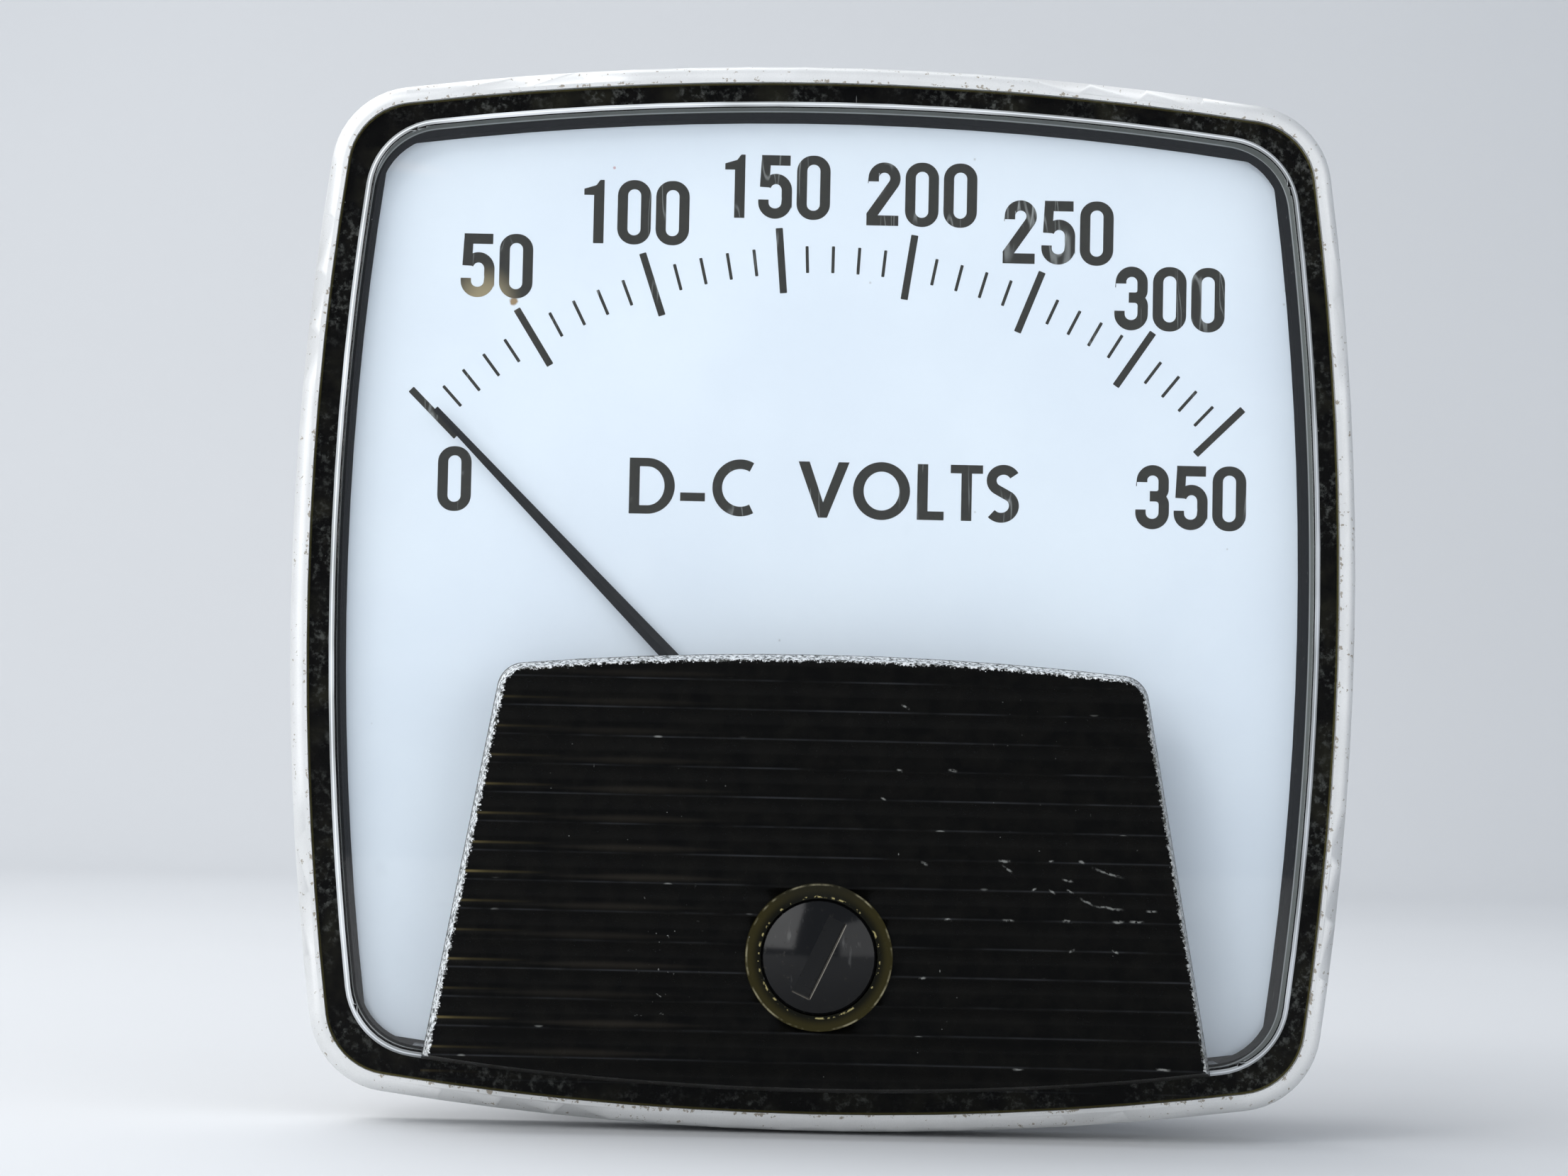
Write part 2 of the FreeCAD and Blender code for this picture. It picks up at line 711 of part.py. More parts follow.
def make_zero_adjuster():
    seat = d.counterbore_floor + d.seal_thick
    groove_front = d.boss_face - d.screw_gap / 2
    groove_back = groove_front - d.clip_thick - d.screw_gap / 2
    neck = d.screw_shank_radius - d.screw_groove
    end = groove_back - d.clip_thick
    edge = seat + d.screw_head_edge
    body = new_body("zero_adjust_screw")
    turned(body, 0, -d.adjuster_drop, [
        (end, 0), (edge, 0), (edge, d.screw_head_radius), (seat, d.screw_head_radius),
        (seat, d.screw_shank_radius), (groove_front, d.screw_shank_radius), (groove_front, neck),
        (groove_back, neck), (groove_back, d.screw_shank_radius), (end, d.screw_shank_radius)])
    dome_radius = (d.screw_head_radius * d.screw_head_radius / d.screw_dome + d.screw_dome) / 2
    dome = sketch_on(body, SIDE, up=-d.adjuster_drop)
    centre = flat(dome_radius - d.screw_dome - edge, 0)
    apex, rim = flat(-edge - d.screw_dome, 0), flat(-edge, d.screw_head_radius)
    dome.addGeometry(arc_between(centre, dome_radius.value, rim, apex), False)
    dome.addGeometry(Part.LineSegment(apex, flat(-edge, 0)), False)
    dome.addGeometry(Part.LineSegment(flat(-edge, 0), rim), False)
    for index in range(3):
        constrain(dome, "Coincident", index, 2, (index + 1) % 3, 1)
    locate(dome, 0, 1, -edge, d.screw_head_radius)
    locate(dome, 1, 1, -edge - d.screw_dome, 0)
    locate(dome, 2, 1, -edge, 0)
    constrain(dome, "Radius", 0, size=dome_radius)
    cap = body.newObject("PartDesign::Revolution", "Dome")
    cap.Profile = dome
    cap.ReferenceAxis = (dome, ["H_Axis"])
    cap.Angle = 360
    slot = sketch_on(body, FRONT, shift=edge + d.screw_dome, up=-d.adjuster_drop)
    half_width, half_length = d.screw_slot_width / 2, d.screw_slot_length / 2
    lean_cos, lean_sin = cosine(d.screw_slot_lean), sine(d.screw_slot_lean)
    corners = []
    for along, across in ((-1, -1), (-1, 1), (1, 1), (1, -1)):
        u, v = along * half_length, across * half_width
        corners.append((u * lean_sin + v * lean_cos, u * lean_cos - v * lean_sin))
    polygon(slot, corners)
    pocket(body, slot, d.screw_slot_depth)
    pin = circle(sketch_on(body, FRONT, shift=end), 0, d.crank_throw - d.adjuster_drop, d.crank_pin_radius)
    pad(body, pin, d.crank_pin_length, backward=True)
    finished(body, "zero_adjust_screw")

    seal = new_body("zero_adjust_seal")
    turned(seal, 0, -d.adjuster_drop, tube(d.counterbore_floor, seat, d.screw_shank_radius + d.screw_gap,
                                           d.screw_head_radius - 2 * d.screw_gap))
    finished(seal, "zero_adjust_seal")

    clip = new_body("zero_adjust_clip")
    washer = sketch_on(clip, FRONT, shift=groove_front - d.clip_thick)
    circle(washer, 0, -d.adjuster_drop, d.clip_radius)
    pad(clip, washer, d.clip_thick)
    mouth = sketch_on(clip, FRONT, shift=groove_front)
    circle(mouth, 0, -d.adjuster_drop, neck + d.screw_gap / 2)
    pocket(clip, mouth, d.clip_thick)
    gap = sketch_on(clip, FRONT, shift=groove_front)
    rectangle(gap, -d.clip_mouth_half, d.clip_mouth_half, -d.adjuster_drop - d.clip_radius - d.cut_over,
              -d.adjuster_drop)
    pocket(clip, gap, d.clip_thick)
    finished(clip, "zero_adjust_clip")


# Dial plate and its screws

def make_dial():
    body = new_body("dial_plate")
    outline = face_outline(sketch_on(body, FRONT, shift=d.dial_seat), d.dial_inset, d.dial_corner)
    pad(body, outline, d.dial_thick)
    notch = sketch_on(body, FRONT, shift=dial_front)
    rectangle(notch, -d.dial_notch_half, d.dial_notch_half, -d.face_size / 2, -d.dial_notch_top)
    cut = pocket(body, notch, d.dial_thick)

    def at_notch_top(edge, middle):
        upright = all(abs(vertex.Point.z + d.dial_notch_top.value) < 1e-4 for vertex in edge.Vertexes)
        return upright and abs(abs(middle.x) - d.dial_notch_half.value) < 1e-4

    rounded(body, cut, d.dial_notch_corner, at_notch_top)
    holes = sketch_on(body, FRONT, shift=dial_front)
    for side in (-1, 1):
        circle(holes, side * d.dial_screw_across, -d.dial_screw_drop, d.dial_screw_radius + d.fit_gap)
    pocket(body, holes, d.dial_thick)
    finished(body, "dial_plate")

    screw = slotted_screw("dial_screws", d.dial_screw_across, -d.dial_screw_drop, dial_front,
                          d.dial_screw_radius, d.dial_screw_length)
    mirrored_pair("dial_screws", screw)


def slotted_screw(name, across, up, seat, shank, length, towards_back=False):
    """A cheese head screw whose head bears on the seat, facing the reader or the back."""
    way = -1 if towards_back else 1
    body = new_body(name)
    top = seat + way * d.small_head_height
    turned(body, across, up, [(seat - way * length, 0), (top, 0), (top, d.small_head_radius),
                              (seat, d.small_head_radius), (seat, shank), (seat - way * length, shank)])
    slot = sketch_on(body, FRONT, shift=top)
    reach = d.small_head_radius + d.cut_over
    rectangle(slot, across - reach, across + reach, up - d.small_slot / 2, up + d.small_slot / 2)
    pocket(body, slot, d.small_head_height / 2, forward=towards_back)
    return body


# Movement frame: ring plate with arms, pillars for the front bridge and feet for the rear one

def make_movement_frame():
    body = new_body("movement_frame")
    plate = sketch_on(body, FRONT, shift=frame_plate_back)
    circle(plate, 0, pivot, d.frame_plate_radius)
    pad(body, plate, d.frame_plate_thick)
    arms = sketch_on(body, FRONT, shift=frame_plate_back)
    rectangle(arms, -d.frame_screw_across, d.frame_screw_across,
              pivot - d.frame_arm_half, pivot + d.frame_arm_half)
    pad(body, arms, d.frame_plate_thick)
    for side in (-1, 1):
        end = sketch_on(body, FRONT, shift=frame_plate_back)
        circle(end, side * d.frame_screw_across, pivot, d.frame_arm_half)
        pad(body, end, d.frame_plate_thick)
    pillars = sketch_on(body, FRONT, shift=d.rear_bridge_front)
    for side in (-1, 1):
        circle(pillars, side * d.pillar_across, pivot, d.pillar_radius)
    pad(body, pillars, d.bridge_back - d.rear_bridge_front)
    hole = sketch_on(body, FRONT, shift=d.frame_plate_front)
    circle(hole, 0, pivot, d.frame_plate_hole)
    pocket(body, hole, d.frame_plate_thick)
    screws = sketch_on(body, FRONT, shift=d.frame_plate_front)
    for side in (-1, 1):
        circle(screws, side * d.frame_screw_across, pivot, d.small_screw_radius + d.fit_gap)
    pocket(body, screws, d.frame_plate_thick)
    taps = sketch_on(body, FRONT, shift=d.bridge_back)
    for side in (-1, 1):
        circle(taps, side * d.pillar_across, pivot, d.small_screw_radius)
    pocket(body, taps, d.bridge_screw_bite + d.hole_spare)
    rear_taps = sketch_on(body, FRONT, shift=d.rear_bridge_front)
    for side in (-1, 1):
        circle(rear_taps, side * d.pillar_across, pivot, d.small_screw_radius)
    pocket(body, rear_taps, d.bridge_screw_bite + d.hole_spare, forward=True)
    finished(body, "movement_frame")
    mirrored_pair("frame_screws", slotted_screw(
        "frame_screws", d.frame_screw_across, pivot, d.frame_plate_front,
        d.small_screw_radius, d.frame_plate_thick + d.frame_screw_bite))


# Magnet system: yoke ring, core magnet and the two spacers in the air gap

def make_magnet_system():
    yoke = new_body("yoke_ring")
    turned(yoke, 0, pivot, tube(d.frame_plate_front, yoke_front, d.yoke_inner, d.yoke_outer))
    finished(yoke, "yoke_ring")
    core = new_body("core_magnet")
    turned(core, 0, pivot, rod(d.core_front - d.core_length, d.core_front, d.core_radius))
    finished(core, "core_magnet")

    body = new_body("core_spacers")
    block = sketch_on(body, FRONT, shift=d.frame_plate_front)
    top = root(d.yoke_inner * d.yoke_inner - d.spacer_width * d.spacer_width / 4)
    low = root(d.core_radius * d.core_radius - d.spacer_width * d.spacer_width / 4)
    half = d.spacer_width / 2
    places = [flat(half, pivot + low), flat(half, pivot + top),
              flat(-half, pivot + top), flat(-half, pivot + low)]
    middle = flat(0, pivot)
    block.addGeometry(Part.LineSegment(places[0], places[1]), False)
    block.addGeometry(arc_between(middle, d.yoke_inner.value, places[1], places[2]), False)
    block.addGeometry(Part.LineSegment(places[2], places[3]), False)
    block.addGeometry(arc_between(middle, d.core_radius.value, places[0], places[3]), False)
    constrain(block, "Coincident", 0, 2, 1, 1)
    constrain(block, "Coincident", 1, 2, 2, 1)
    constrain(block, "Coincident", 2, 2, 3, 2)
    constrain(block, "Coincident", 3, 1, 0, 1)
    locate(block, 0, 1, half, pivot + low)
    locate(block, 0, 2, half, pivot + top)
    locate(block, 2, 1, -half, pivot + top)
    locate(block, 2, 2, -half, pivot + low)
    constrain(block, "Radius", 1, size=d.yoke_inner)
    constrain(block, "Radius", 3, size=d.core_radius)
    pad(body, block, d.yoke_length)
    twin = doc.addObject("Part::Mirroring", "core_spacers_twin")
    twin.Source = body
    twin.Normal = Vector(0, 0, 1)
    twin.Base = Vector(0, 0, pivot.value)
    bind(twin, ".Base.z", pivot)
    group = doc.addObject("Part::Compound", "core_spacers_pair")
    group.Links = [body, twin]
    finished(group, "core_spacers")


# Bridges with their screws, jewel screws and jewels

def make_bridges():
    half_length = d.pillar_across + d.pillar_radius
    front = new_body("front_bridge")
    bar = sketch_on(front, FRONT, shift=d.bridge_back)
    rectangle(bar, -half_length, half_length, pivot - d.bridge_width / 2, pivot + d.bridge_width / 2)
    pad(front, bar, d.bridge_thick)
    boss = circle(sketch_on(front, FRONT, shift=d.bridge_back), 0, pivot, d.bridge_boss_radius)
    pad(front, boss, d.bridge_boss_length, backward=True)
    drill_bridge(front, bridge_front, d.bridge_thick, d.bridge_thick + d.bridge_boss_length)
    finished(front, "front_bridge")
    mirrored_pair("bridge_screws", slotted_screw(
        "bridge_screws", d.pillar_across, pivot, bridge_front, d.small_screw_radius,
        d.bridge_thick + d.bridge_screw_bite))

    rear = new_body("rear_bridge")
    bar = sketch_on(rear, FRONT, shift=rear_bridge_back)
    rectangle(bar, -half_length, half_length, pivot - d.bridge_width / 2, pivot + d.bridge_width / 2)
    pad(rear, bar, d.bridge_thick)
    drill_bridge(rear, d.rear_bridge_front, d.bridge_thick, d.bridge_thick)
    finished(rear, "rear_bridge")
    mirrored_pair("rear_bridge_screws", slotted_screw(
        "rear_bridge_screws", d.pillar_across, pivot, rear_bridge_back, d.small_screw_radius,
        d.bridge_thick + d.bridge_screw_bite, towards_back=True))


def drill_bridge(body, face, plate, middle):
    """Screw holes at a bridge's ends and the jewel screw's hole at its middle."""
    ends = sketch_on(body, FRONT, shift=face)
    for side in (-1, 1):
        circle(ends, side * d.pillar_across, pivot, d.small_screw_radius + d.fit_gap)
    pocket(body, ends, plate)
    centre = sketch_on(body, FRONT, shift=face)
    circle(centre, 0, pivot, d.jewel_screw_radius)
    pocket(body, centre, middle)


def make_jewel_screws():
    front_inner = d.bridge_back - d.bridge_boss_length
    rear_inner = d.rear_bridge_front
    for name, inner, way in (("front_jewel_screw", front_inner, 1), ("rear_jewel_screw", rear_inner, -1)):
        body = new_body(name)
        outer = inner + way * d.jewel_screw_length
        seat = inner + way * d.jewel_length
        turned(body, 0, pivot, [(seat, 0), (outer, 0), (outer, d.jewel_screw_radius),
                                (inner, d.jewel_screw_radius), (inner, d.jewel_radius),
                                (seat, d.jewel_radius)])
        slot = sketch_on(body, FRONT, shift=outer)
        reach = d.jewel_screw_radius + d.cut_over
        rectangle(slot, -reach, reach, pivot - d.small_slot / 2, pivot + d.small_slot / 2)
        pocket(body, slot, d.small_slot, forward=way < 0)
        finished(body, name)

    cups = []
    for inner, way in ((front_inner, 1), (rear_inner, -1)):
        body = new_body("jewel")
        seat = inner + way * d.jewel_length
        turned(body, 0, pivot, [(inner + way * d.jewel_cup_depth, 0), (seat, 0), (seat, d.jewel_radius),
                                (inner, d.jewel_radius), (inner, d.jewel_radius - d.jewel_lip)])
        cups.append(body)
    group = doc.addObject("Part::Compound", "jewel_pair")
    group.Links = cups
    finished(group, "jewels")


# Moving system, drawn with the pointer upright and then turned to rest on zero

def rest_on_zero(piece):
    """Carry a piece drawn about the Y axis to the pivot, turned to its rest angle."""
    piece.Placement = Placement(Vector(0, 0, pivot.value), Rotation(Vector(0, 1, 0), d.rest_angle.value))
    bind(piece, "Placement.Base.z", pivot)
    bind(piece, "Placement.Rotation.Angle", d.rest_angle)
    return piece


def frame_ring(body, inner_half, outer_half, front, back, wall, width):
    """A rectangular ring in the level plane, as the coil and its former are."""
    ring = sketch_on(body, LEVEL, shift=-width / 2)
    rectangle(ring, -outer_half, outer_half, -front, -back)
    rectangle(ring, -inner_half, inner_half, wall - front, -wall - back)
    pad(body, ring, width)


def make_coil():
    former_outer = d.coil_inner_half + d.former_wall
    former_front = d.coil_front - d.winding_depth
    former_back = d.coil_front - d.coil_length + d.winding_depth
    former = new_body("coil_former")
    frame_ring(former, d.coil_inner_half, former_outer, former_front, former_back,
               d.former_wall, d.coil_width)
    finished(rest_on_zero(former), "coil_former")
    winding = new_body("coil_winding")
    frame_ring(winding, former_outer, former_outer + d.winding_depth, d.coil_front,
               d.coil_front - d.coil_length, d.winding_depth, d.coil_width)
    finished(rest_on_zero(winding), "coil_winding")


def make_staffs():
    """The front and rear half staffs, each with a hairspring collet and a pivot point."""
    front_tip = d.bridge_back - d.bridge_boss_length + d.staff_tip
    rear_tip = d.rear_bridge_front - d.staff_tip
    pieces = []
    for name, foot, tip, spring, way in (
            ("front_staff", d.coil_front, front_tip, d.front_spring_forward, 1),
            ("rear_staff", d.coil_front - d.coil_length, rear_tip, d.rear_spring_forward, -1)):
        body = new_body(name)
        cone = tip - way * 2 * d.staff_tip
        collet_foot = spring - way * d.spring_width / 2
        collet_end = spring + way * d.spring_width / 2
        turned(body, 0, 0, [
            (foot, 0), (tip, 0), (cone, d.staff_radius), (collet_end, d.staff_radius),
            (collet_end, d.collet_radius), (collet_foot, d.collet_radius),
            (collet_foot, d.staff_radius), (foot, d.staff_radius)])
        pieces.append(rest_on_zero(body))
    group = doc.addObject("Part::Compound", "staff_pair")
    group.Links = pieces
    finished(group, "pivot_staffs")


def make_pointer():
    """A folded strip with a ridge along it, tapering from the hub to a fine tip."""
    body = new_body("pointer")
    sections = []
    for along, width, height in ((d.pointer_start, d.pointer_root, d.pointer_height),
                                 (d.pointer_length, d.pointer_tip, d.pointer_height / 2)):
        section = sketch_on(body, LEVEL, shift=along)
        foot, ridge = -d.pointer_forward, -d.pointer_forward - height
        inset = d.pointer_sheet * width / (2 * height)
        polygon(section, [(-width / 2, foot), (inset - width / 2, foot), (0, ridge + d.pointer_sheet),
                          (width / 2 - inset, foot), (width / 2, foot), (0, ridge)])
        sections.append(section)
    blade = body.newObject("PartDesign::AdditiveLoft", "Blade")
    blade.Profile = sections[0]
    blade.Sections = [sections[1]]
    blade.Ruled = True
    hub = circle(sketch_on(body, FRONT, shift=d.pointer_forward), 0, 0, d.hub_radius)
    pad(body, hub, d.cross_thick)
    hole = circle(sketch_on(body, FRONT, shift=d.pointer_forward + d.pointer_height), 0, 0, d.staff_radius)
    pocket(body, hole, d.pointer_height)
    finished(rest_on_zero(body), "pointer")


def make_balance():
    cross = new_body("balance_cross")
    back = d.pointer_forward - d.cross_thick
    arms = sketch_on(cross, FRONT, shift=back)
    rectangle(arms, -d.cross_arm, d.cross_arm, -d.cross_width / 2, d.cross_width / 2)
    pad(cross, arms, d.cross_thick)
    tail = sketch_on(cross, FRONT, shift=back)
    rectangle(tail, -d.cross_width / 2, d.cross_width / 2, -d.cross_arm, 0)
    pad(cross, tail, d.cross_thick)
    hub = circle(sketch_on(cross, FRONT, shift=back), 0, 0, d.hub_radius)
    pad(cross, hub, d.cross_thick)
    hole = circle(sketch_on(cross, FRONT, shift=d.pointer_forward), 0, 0, d.staff_radius)
    pocket(cross, hole, d.cross_thick)
    finished(rest_on_zero(cross), "balance_cross")

    weights = []
    outer = d.cross_arm - d.weight_inset
    inner = outer - d.weight_length
    for place, across, up, radius in (("left", -1, 0, d.weight_radius), ("right", 1, 0, d.weight_radius),
                                      ("tail", 0, -1, d.tail_weight_radius)):
        body = new_body("weight_" + place)
        plane = SIDE if across else LEVEL
        start = inner if across + up > 0 else -outer
        ring = sketch_on(body, plane, shift=start)
        if across:
            circle(ring, d.cross_thick / 2 - d.pointer_forward, 0, radius)
        else:
            circle(ring, 0, d.cross_thick / 2 - d.pointer_forward, radius)
        pad(body, ring, d.weight_length)
        slot = sketch_on(body, plane, shift=start)
        half_thick, half_width = d.cross_thick / 2, d.cross_width / 2
        middle = half_thick - d.pointer_forward
        if across:
            rectangle(slot, middle - half_thick, middle + half_thick, -half_width, half_width)
        else:
            rectangle(slot, -half_width, half_width, middle - half_thick, middle + half_thick)
        pocket(body, slot, d.weight_length, forward=True)
        weights.append(rest_on_zero(body))
    group = doc.addObject("Part::Compound", "weight_group")
    group.Links = weights
    finished(group, "balance_weights")


# Hairsprings: flat spiral strips, wound from half turns about two close centres

def spiral_strip(turns, level):
    """The spiral's face at one level along Y, from the collet outwards."""
    radius = d.collet_radius.value
    centre, side = 0.0, 1
    inner_edges, outer_edges = [], []
    for half_turn in range(2 * turns):
        for edges, extra in ((inner_edges, 0.0), (outer_edges, d.spring_strip.value)):
            reach = radius + extra
            start, end = Vector(centre - side * reach, level, 0), Vector(centre + side * reach, level, 0)
            edges.append(Part.Arc(start, Vector(centre, level, side * reach), end).toShape())
        centre -= side * d.spring_pitch.value / 2
        radius += d.spring_pitch.value / 2
        side = -side
    closing = [Part.makeLine(inner_edges[0].Vertexes[0].Point, outer_edges[0].Vertexes[0].Point),
               Part.makeLine(inner_edges[-1].Vertexes[-1].Point, outer_edges[-1].Vertexes[-1].Point)]
    return Part.Face(Part.Wire(Part.__sortEdges__(inner_edges + outer_edges + closing)))


def make_hairspring(name, forward):
    piece = doc.addObject("Part::Feature", name)
    front_level = -(forward + d.spring_width / 2).value
    piece.Shape = spiral_strip(SPRING_TURNS, front_level).extrude(Vector(0, d.spring_width.value, 0))
    piece.Placement = Placement(Vector(0, 0, pivot.value), Rotation())
    finished(piece, name)


# Zero lever on the front bridge, moved by the crank pin, and the fixed rear anchor

def make_zero_lever():
    body = new_body("zero_lever")
    ring = circle(sketch_on(body, FRONT, shift=d.lever_back), 0, pivot, d.lever_ring)
    pad(body, ring, d.lever_thick)
    arm = sketch_on(body, FRONT, shift=d.lever_back)
    prong = d.lever_slot / 2 + d.lever_prong
    foot = -d.adjuster_drop - d.lever_foot
    neck = -d.adjuster_drop + d.crank_throw + d.lever_throat
    rectangle(arm, -d.lever_arm_width / 2, d.lever_arm_width / 2, neck, pivot)
    pad(body, arm, d.lever_thick)
    fork = sketch_on(body, FRONT, shift=d.lever_back)
    rectangle(fork, -prong, prong, foot, neck)
    pad(body, fork, d.lever_thick)
    slot = sketch_on(body, FRONT, shift=d.lever_back + d.lever_thick)
    rectangle(slot, -d.lever_slot / 2, d.lever_slot / 2, foot - d.cut_over, neck - d.lever_prong)
    pocket(body, slot, d.lever_thick)
    hole = circle(sketch_on(body, FRONT, shift=d.lever_back + d.lever_thick), 0, pivot,
                  d.bridge_boss_radius + d.lever_play)
    pocket(body, hole, d.lever_thick)
    inner = spring_reach()
    outer = inner + d.lever_thick
    tab = sketch_on(body, FRONT, shift=d.lever_back)
    rectangle(tab, -outer, -inner, pivot - d.tab_half, pivot + d.tab_half)
    pad(body, tab, d.lever_back + d.spring_width / 2 - d.front_spring_forward, backward=True)
    link = sketch_on(body, FRONT, shift=d.lever_back)
    rectangle(link, -outer, -d.lever_ring + d.tab_half, pivot - d.tab_half, pivot + d.tab_half)
    pad(body, link, d.lever_thick)
    finished(body, "zero_lever")


def spring_reach():
    """How far from the pivot the spiral's outer end is held, on the left where it ends."""
    return d.collet_radius + SPRING_TURNS * d.spring_pitch + d.spring_strip + d.spring_gap


def make_rear_anchor():
    body = new_body("rear_spring_anchor")
    inner = spring_reach()
    post = sketch_on(body, FRONT, shift=d.rear_bridge_front)
    rectangle(post, -inner - d.anchor_thick, -inner, pivot - d.tab_half, pivot + d.tab_half)
    pad(body, post, d.rear_spring_forward + d.spring_width / 2 - d.rear_bridge_front)
    finished(body, "rear_spring_anchor")


def make_pointer_stops():
    """Two upright pins on the yoke that the pointer's root meets past either end of the scale."""
    pins = []
    for name, side, angle in (("low", -1, d.stop_low_angle), ("high", 1, d.stop_high_angle)):
        body = new_body("stop_" + name)
        across = side * d.stop_orbit * sine(angle)
        up = pivot + d.stop_orbit * cosine(angle)
        turned(body, across, up, rod(yoke_front, d.pointer_forward + d.stop_over, d.stop_radius))
        pins.append(body)
    group = doc.addObject("Part::Compound", "stop_pair")
    group.Links = pins
    finished(group, "pointer_stops")


# Terminals: studs with their heads inside the case, lugs, washers and nuts

def make_terminals():
    boss_face = -d.barrel_depth - d.terminal_boss_height
    washer_back = boss_face - d.terminal_washer_thick
    lock_back = washer_back - d.lock_washer_thick
    nut_back = lock_back - d.terminal_nut_thick
    thread_start = nut_back - d.thread_relief
    across, up = d.terminal_across, d.terminal_rise
    lug_front = cavity_floor + d.lug_thick
    stud = new_body("terminal_studs")
    head = hexagon(sketch_on(stud, FRONT, shift=lug_front), across, up, d.terminal_head_flats)
    pad(stud, head, d.terminal_head_thick)
    core = circle(sketch_on(stud, FRONT, shift=lug_front), across, up, d.terminal_core)
    pad(stud, core, lug_front - thread_start, backward=True)
    tip = boss_face - d.terminal_length
    free_end = circle(sketch_on(stud, FRONT, shift=thread_start), across, up, d.terminal_radius)
    shaft = pad(stud, free_end, thread_start - tip, backward=True)
    chamfered(stud, shaft, d.thread_lead_in, level_with(tip))
    mirrored_pair("terminal_studs", stud)

    lug = new_body("terminal_lugs")
    eye = circle(sketch_on(lug, FRONT, shift=cavity_floor), across, up, d.terminal_radius + d.lug_eye_wall)
    pad(lug, eye, d.lug_thick)
    tail = sketch_on(lug, FRONT, shift=cavity_floor)
    rectangle(tail, across - d.lug_tail_half, across + d.lug_tail_half, up - d.lug_length, up)
    pad(lug, tail, d.lug_thick)
    eye_hole = circle(sketch_on(lug, FRONT, shift=lug_front), across, up, d.terminal_radius)
    pocket(lug, eye_hole, d.lug_thick)
    mirrored_pair("terminal_lugs", lug)

    washer = new_body("terminal_washers")
    turned(washer, across, up, tube(washer_back, boss_face, d.terminal_radius + d.fit_gap,
                                    d.terminal_washer_radius))
    mirrored_pair("terminal_washers", washer)
    lock = new_body("terminal_lock_washers")
    turned(lock, across, up, tube(lock_back, washer_back, d.terminal_radius + d.fit_gap,
                                  d.lock_washer_radius))
    split = sketch_on(lock, FRONT, shift=washer_back)
    rectangle(split, across - d.lock_washer_split / 2, across + d.lock_washer_split / 2, up,
              up + d.lock_washer_radius + d.cut_over)
    pocket(lock, split, d.lock_washer_thick)
    mirrored_pair("terminal_lock_washers", lock)
    nut = new_body("terminal_nuts")
    flats = hexagon(sketch_on(nut, FRONT, shift=lock_back), across, up, d.terminal_nut_flats)
    block = pad(nut, flats, d.terminal_nut_thick, backward=True)
    chamfered(nut, block, d.nut_chamfer, level_with(nut_back))
    bore = circle(sketch_on(nut, FRONT, shift=lock_back), across, up, d.terminal_core)
    pocket(nut, bore, d.terminal_nut_thick)
    mirrored_pair("terminal_nuts", nut)


def chamfered(body, feature, size, test):
    names = edges_at(feature, test)
    cut = body.newObject("PartDesign::Chamfer", "Chamfer")
    cut.Base = (feature, names)
    cut.Size = as_size(size).value
    bind(cut, "Size", size)
    return cut


# Lead wires inside the case, from the lugs to the movement

def rounded_path(points, radius):
    """Straight runs joined by tangent arcs of one radius."""
    edges, start = [], points[0]
    for before, corner, after in zip(points, points[1:], points[2:]):
        inward = (before - corner).normalize()
        outward = (after - corner).normalize()
        half_turn = (math.pi - inward.getAngle(outward)) / 2
        trim = radius * math.tan(half_turn)
        first, last = corner + inward * trim, corner + outward * trim
        bisector = (inward + outward).normalize()
        middle = corner + bisector * (radius / math.cos(half_turn) - radius)
        edges.append(Part.makeLine(start, first))
        edges.append(Part.Arc(first, middle, last).toShape())
        start = last
    edges.append(Part.makeLine(start, points[-1]))
    return Part.Wire(edges)


def make_lead_wires():
    """One wire runs to the frame and the other to the insulated anchor of the rear hairspring."""
    lug_front = -(cavity_floor + d.lug_thick).value
    lug_up = (d.terminal_rise - d.lug_length + d.wire_foot).value
    across, rise, reach = d.terminal_across.value, d.wire_rise.value, d.wire_frame_reach.value
    anchor = Vector(-(spring_reach() + d.anchor_thick / 2).value,
                    (d.wire_anchor_back - frame_plate_back).value, (pivot + d.tab_half).value)
    frame_end = Vector(reach, -frame_plate_back.value, pivot.value + reach)
    routes = [
        [Vector(-across, lug_front, lug_up), Vector(-across, lug_front - rise, lug_up),
         anchor + Vector(0, 0, d.wire_anchor_run.value), anchor],
        [Vector(across, lug_front, lug_up), Vector(across, lug_front - rise, lug_up),
         frame_end + Vector(0, d.wire_frame_run.value, 0), frame_end],
    ]
    solids = []
    for route in routes:
        section = Part.Wire(Part.makeCircle(d.wire_radius.value, route[0], route[1] - route[0]))
        solids.append(rounded_path(route, d.wire_bend.value).makePipeShell([section], True, False))
    piece = doc.addObject("Part::Feature", "lead_wires")
    piece.Shape = Part.makeCompound(solids)
    finished(piece, "lead_wires")


# Panel studs, pressed into the flange with their heads inside

